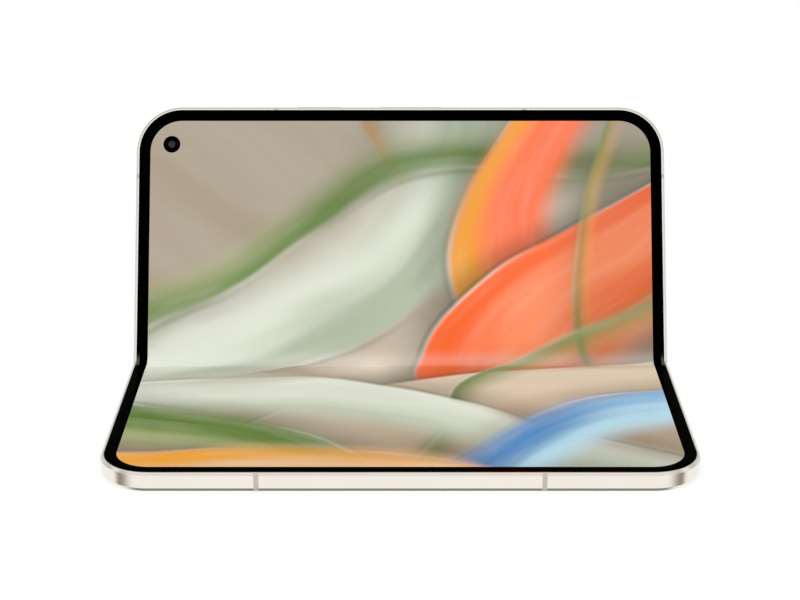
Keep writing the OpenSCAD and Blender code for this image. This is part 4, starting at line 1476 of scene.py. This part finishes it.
@dataclass
class Keys(Assembly):
    """The power key and the volume rocker on the lid's outer edge.

    Args:
        height: height of a key, across the lid's thickness.
        rim_r: rounding of its rim.
        sunk: how far it reaches into its flange.
        flange_t: thickness of the flange.
        flange_out: how much further than the key the flange reaches, each way.
        flange_r: radius of the flange's corners.
        beside: reach of the search for the key's root, from its end.
    """

    height: float = 2.2 * MM
    rim_r: float = 0.22 * MM
    sunk: float = 0.1 * MM
    flange_t: float = 0.45 * MM
    flange_out: tuple[float, float] = (0.6 * MM, 0.05 * MM)
    flange_r: float = 0.8 * MM
    beside: float = 0.5 * MM

    def key(self, node: str) -> None:
        """Builds one key: a pill with a softened rim on its flange, where the CAD key is.

        Args:
            node: name of the CAD key.
        """
        points = self.points(node)
        tip = max(p.y for p in points)
        crown = [p for p in points if p.y > tip - HAIR]
        x0, x1 = min(p.x for p in crown), max(p.x for p in crown)
        middle_z = (min(p.z for p in crown) + max(p.z for p in crown)) / 2
        root = min(p.y for p in points if abs(p.x - x0) < self.beside)
        half, tall = (x1 - x0) / 2, self.height / 2
        pill = slab((half, tall), tall * ROUND, 12, tip, tip - root - self.sunk)
        soften(pill, tip, self.rim_r, 5)
        reach = (half + self.flange_out[0], tall + self.flange_out[1])
        flange = slab(reach, self.flange_r, 8, root + self.flange_t, self.flange_t)
        stand = Matrix(((1, 0, 0, 0), (0, 0, 1, 0), (0, -1, 0, 0), (0, 0, 0, 1)))
        place = self.layout.place(Side.LID) @ Matrix.Translation(((x0 + x1) / 2, 0, middle_z)) @ stand
        self.add(join(pill, flange), node + "_key", "key_metal", node, place, node)

    def build(self) -> None:
        """Builds both keys."""
        self.key("power_button")
        self.key("volume_rocker")


@dataclass
class PortDetails(Assembly):
    """Contacts on the charging socket's tongue, and the dust meshes behind the sound holes.

    Args:
        pads: number of contacts on each face of the tongue.
        pitch: distance between them.
        pad: size of one.
        pad_r: rounding of its upper edges.
        tongue_t: thickness of the tongue.
        back: how far the contacts' middles are inside the mouth.
        mesh_t: thickness of a mesh.
        mesh_w: half of its width.
        mesh_in: how far it is inside the phone's end.
        meshes: each mesh's name, its half, its end of the phone (1 or -1), the place of its middle from the
            fold, and its length.
    """

    pads: int = 12
    pitch: float = 0.5 * MM
    pad: tuple[float, float, float] = (3.6 * MM, 0.26 * MM, 0.03 * MM)
    pad_r: float = 0.01 * MM
    tongue_t: float = 0.7 * MM
    back: float = 3.7 * MM
    mesh_t: float = 0.08 * MM
    mesh_w: float = 0.75 * MM
    mesh_in: float = 1.3 * MM
    meshes: ClassVar[tuple] = (
        ("base_speaker_mesh", Side.BASE, -1, 36 * MM, 10.4 * MM),
        ("lid_speaker_mesh", Side.LID, 1, 20 * MM, 10.4 * MM),
        ("lid_microphone_mesh", Side.LID, -1, 30 * MM, 1.6 * MM))

    def contacts(self) -> None:
        """Builds two rows of copper contacts on the tongue."""
        points = self.points("charging_port")
        mouth = max(p.x for p in points)
        y = (min(p.y for p in points) + max(p.y for p in points)) / 2
        z = (min(p.z for p in points) + max(p.z for p in points)) / 2
        rows = []
        for way in (-1, 1):
            for i in range(self.pads):
                bm = bmesh.new()
                bmesh.ops.create_cube(bm, size=1)
                bmesh.ops.scale(bm, vec=self.pad, verts=bm.verts)
                soften(bm, way * self.pad[2] / 2, self.pad_r, 2)
                across = (i - (self.pads - 1) / 2) * self.pitch
                shift = (mouth - self.back, y + across, z + way * (self.tongue_t + self.pad[2]) / 2)
                bmesh.ops.translate(bm, vec=shift, verts=bm.verts)
                rows.append(bm)
        self.add(join(*rows), "port_contacts", "copper", "lid", self.layout.place(Side.LID))

    def dust_mesh(self, label: str, side: Side, end: int, y: float, length: float) -> None:
        """Builds the mesh behind one row of sound holes.

        Args:
            label: the piece's name.
            side: the half that it is in.
            end: 1 or -1, the end of the phone.
            y: middle of the row, from the fold.
            length: length of the mesh.
        """
        cells = (max(2, int(length / MM) * 2), 4)
        bm = sheet((-length / 2, -self.mesh_w), (length / 2, self.mesh_w), cells)
        thicken(bm, self.mesh_t)
        stand = Matrix(((0, 0, end, 0), (1, 0, 0, 0), (0, 1, 0, 0), (0, 0, 0, 1)))
        middle = (end * (self.layout.half_w - self.mesh_in), y, self.layout.back_z / 2)
        place = self.layout.place(side) @ Matrix.Translation(middle) @ stand
        self.add(bm, label, "panel_black", side.value, place)

    def build(self) -> None:
        """Builds the contacts and the meshes."""
        self.contacts()
        for row in self.meshes:
            self.dust_mesh(*row)


# ---- Studio ----


@dataclass
class Studio:
    """A pale floor, a white surround, soft lamps and the camera.

    Args:
        layout: the phone's sizes.
        distance: camera's distance in front of the fold's corner.
        height: camera's height above it.
        aside: camera's place along the hinge.
        pitch: how far the camera looks down, in degrees.
        focal: lens length in millimetres.
        sensor: width of the sensor in millimetres.
        floor_reach: half of the floor's width.
        floor_gap: how far the floor is below the phone.
        floor_glow: brightness that the floor has by itself, seen straight.
        floor_share: share of that in what is seen.
        lit: strength of the plain light from all round.
        lamp_size: width of the lamps.
        aim: what the lamps face.
        lamps: place and power in watts of each lamp.
        tones: what metal reflects: a band on each side, straight below, behind (low and high) and above.
    """

    layout: Layout
    distance: float = 493.8 * MM
    height: float = 200.7 * MM
    aside: float = -0.11 * MM
    pitch: float = 20.16
    focal: float = 82.6
    sensor: float = 36.0
    floor_reach: float = 3.0
    floor_gap: float = 0.05 * MM
    floor_glow: float = 1.16
    floor_share: float = 0.62
    lit: float = 0.78
    lamp_size: float = 0.7
    aim: ClassVar[Vector] = Vector((0, 0.03, 0.03))
    lamps: ClassVar[dict[str, tuple]] = {
        "front_lamp": ((-0.35, -0.6, 0.75), 1.4), "back_lamp": ((0.5, 0.6, 0.7), 0.9)}
    tones: ClassVar[dict[str, Colour]] = {
        "band": srgb(140, 130, 116), "below": srgb(140, 137, 130), "low": srgb(222, 226, 232),
        "high": srgb(196, 197, 190), "above": srgb(232, 232, 232)}

    def camera(self) -> None:
        """Places the camera in front of the phone, looking down on it."""
        layout = self.layout
        corner = layout.fold_y - (layout.axis_y + layout.axis_z * math.tan(layout.bend / 2))
        data = bpy.data.cameras.new("camera")
        data.lens = self.focal
        data.sensor_width = self.sensor
        data.clip_start = 10 * MM
        made = bpy.data.objects.new("camera", data)
        made.location = (self.aside, corner - self.distance, layout.surface + self.height)
        made.rotation_euler = (math.radians(90 - self.pitch), 0, 0)
        bpy.context.scene.collection.objects.link(made)
        bpy.context.scene.camera = made

    def floor_paint(self) -> Material:
        """The floor's material: pale, a little bright by itself, and clear to metal and from below.

        Returns:
            The material.
        """
        paint, graph = new_material("floor_paint")
        graph.tree.nodes.remove(paint.node_tree.nodes["Principled BSDF"])
        grain = graph.spread(graph.noise(graph.object_place(), 500.0), 0.3, 0.7, 0.93, 0.95)
        matt = graph.node("ShaderNodeBsdfDiffuse", {"Color": graph.mix(grain, (0, 0, 0), WHITE)}).outputs[0]
        glow = graph.node("ShaderNodeEmission", {"Color": WHITE, "Strength": self.floor_glow}).outputs[0]
        clear = graph.node("ShaderNodeBsdfTransparent").outputs[0]
        path = graph.node("ShaderNodeLightPath").outputs
        under = graph.node("ShaderNodeNewGeometry").outputs["Backfacing"]
        seen = graph.blend(self.floor_share, matt, glow)
        body = graph.blend(path["Is Camera Ray"], matt, seen)
        passing = graph.math("MAXIMUM", path["Is Glossy Ray"], graph.product(under, path["Is Camera Ray"]))
        graph.give(paint.node_tree.nodes["Material Output"], {"Surface": graph.blend(passing, body, clear)})
        return paint

    def floor(self) -> None:
        """Lays a pale floor that keeps the phone's shadow and lets metal reflect the surround."""
        bm = sheet((-self.floor_reach, -self.floor_reach), (self.floor_reach, self.floor_reach))
        lift(bm, -self.floor_gap)
        mesh = bpy.data.meshes.new("floor")
        bm.to_mesh(mesh)
        bm.free()
        made = bpy.data.objects.new("floor", mesh)
        bpy.context.scene.collection.objects.link(made)
        mesh.materials.append(self.floor_paint())

    def surround(self) -> None:
        """Makes the world: plain light, and a white surround with soft dark bands for metal to reflect."""
        world = bpy.data.worlds.new("surround")
        bpy.context.scene.world = world
        world.use_nodes = True
        graph = Graph(world.node_tree)
        ray = graph.node("ShaderNodeTexCoord").outputs["Generated"]
        x, y, z = graph.node("ShaderNodeSeparateXYZ", {0: ray}).outputs

        # Where each tone is: "side" is the angle from straight ahead, in radians
        side = graph.math("ARCTAN2", graph.math("ABSOLUTE", x), graph.product(y, -1.0))
        band = graph.product(graph.spread(side, 0.66, 1.26, smooth=True),
                             graph.spread(side, 1.34, 1.52, 1.0, 0.0, smooth=True),
                             graph.spread(z, 0.45, 1.0, 1.0, 0.0, smooth=True))
        behind = graph.product(graph.spread(side, 1.6, 1.85, smooth=True),
                               graph.spread(z, -0.45, 0.0, smooth=True))
        raised = graph.spread(z, 0.12, 0.4, smooth=True)
        below = graph.spread(z, -0.84, -0.95, smooth=True)
        above = graph.spread(z, 0.55, 0.85, smooth=True)
        tone = graph.mix(band, WHITE, self.tones["band"])
        tone = graph.mix(behind, tone, graph.mix(raised, self.tones["low"], self.tones["high"]))
        tone = graph.mix(below, tone, self.tones["below"])
        tone = graph.mix(above, tone, self.tones["above"])

        # What each kind of ray meets
        shown, seen, light = (
            graph.node("ShaderNodeBackground", {"Color": colour, "Strength": strength}).outputs[0]
            for colour, strength in ((tone, 1.0), (WHITE, 1.0), (WHITE, self.lit)))
        path = graph.node("ShaderNodeLightPath").outputs
        glossy = graph.blend(path["Is Glossy Ray"], light, shown)
        straight = graph.math("MAXIMUM", path["Is Camera Ray"], path["Is Transmission Ray"])
        whole = graph.blend(straight, glossy, seen)
        graph.give(world.node_tree.nodes["World Output"], {"Surface": whole})

    def lamp(self, name: str, place: tuple[float, float, float], power: float) -> None:
        """Adds a soft square lamp that faces the phone.

        Args:
            name: the lamp's name.
            place: where it stands.
            power: its power in watts.
        """
        data = bpy.data.lights.new(name, "AREA")
        data.size = self.lamp_size
        data.energy = power
        made = bpy.data.objects.new(name, data)
        made.location = place
        made.visible_glossy = False
        made.rotation_euler = (self.aim - Vector(place)).to_track_quat("-Z", "Y").to_euler()
        bpy.context.scene.collection.objects.link(made)

    def build(self) -> None:
        """Sets up the whole studio."""
        self.camera()
        self.floor()
        self.surround()
        for name, (place, power) in self.lamps.items():
            self.lamp(name, place, power)
        bpy.context.scene.view_settings.view_transform = "Standard"


def main() -> None:
    """Builds the studio, the finishes and each sub-assembly in turn."""
    logging.basicConfig(level=logging.INFO, format="%(name)s %(message)s")
    layout = Layout.from_frame()
    Studio(layout).build()
    finishes = Finishes()
    finishes.dress_nodes()
    for kind in (InnerDisplay, HingeCables, InnerCamera, RearCameras, BackPanels, Keys, PortDetails):
        kind(layout, finishes).build()


if __name__ == "__main__":
    main()
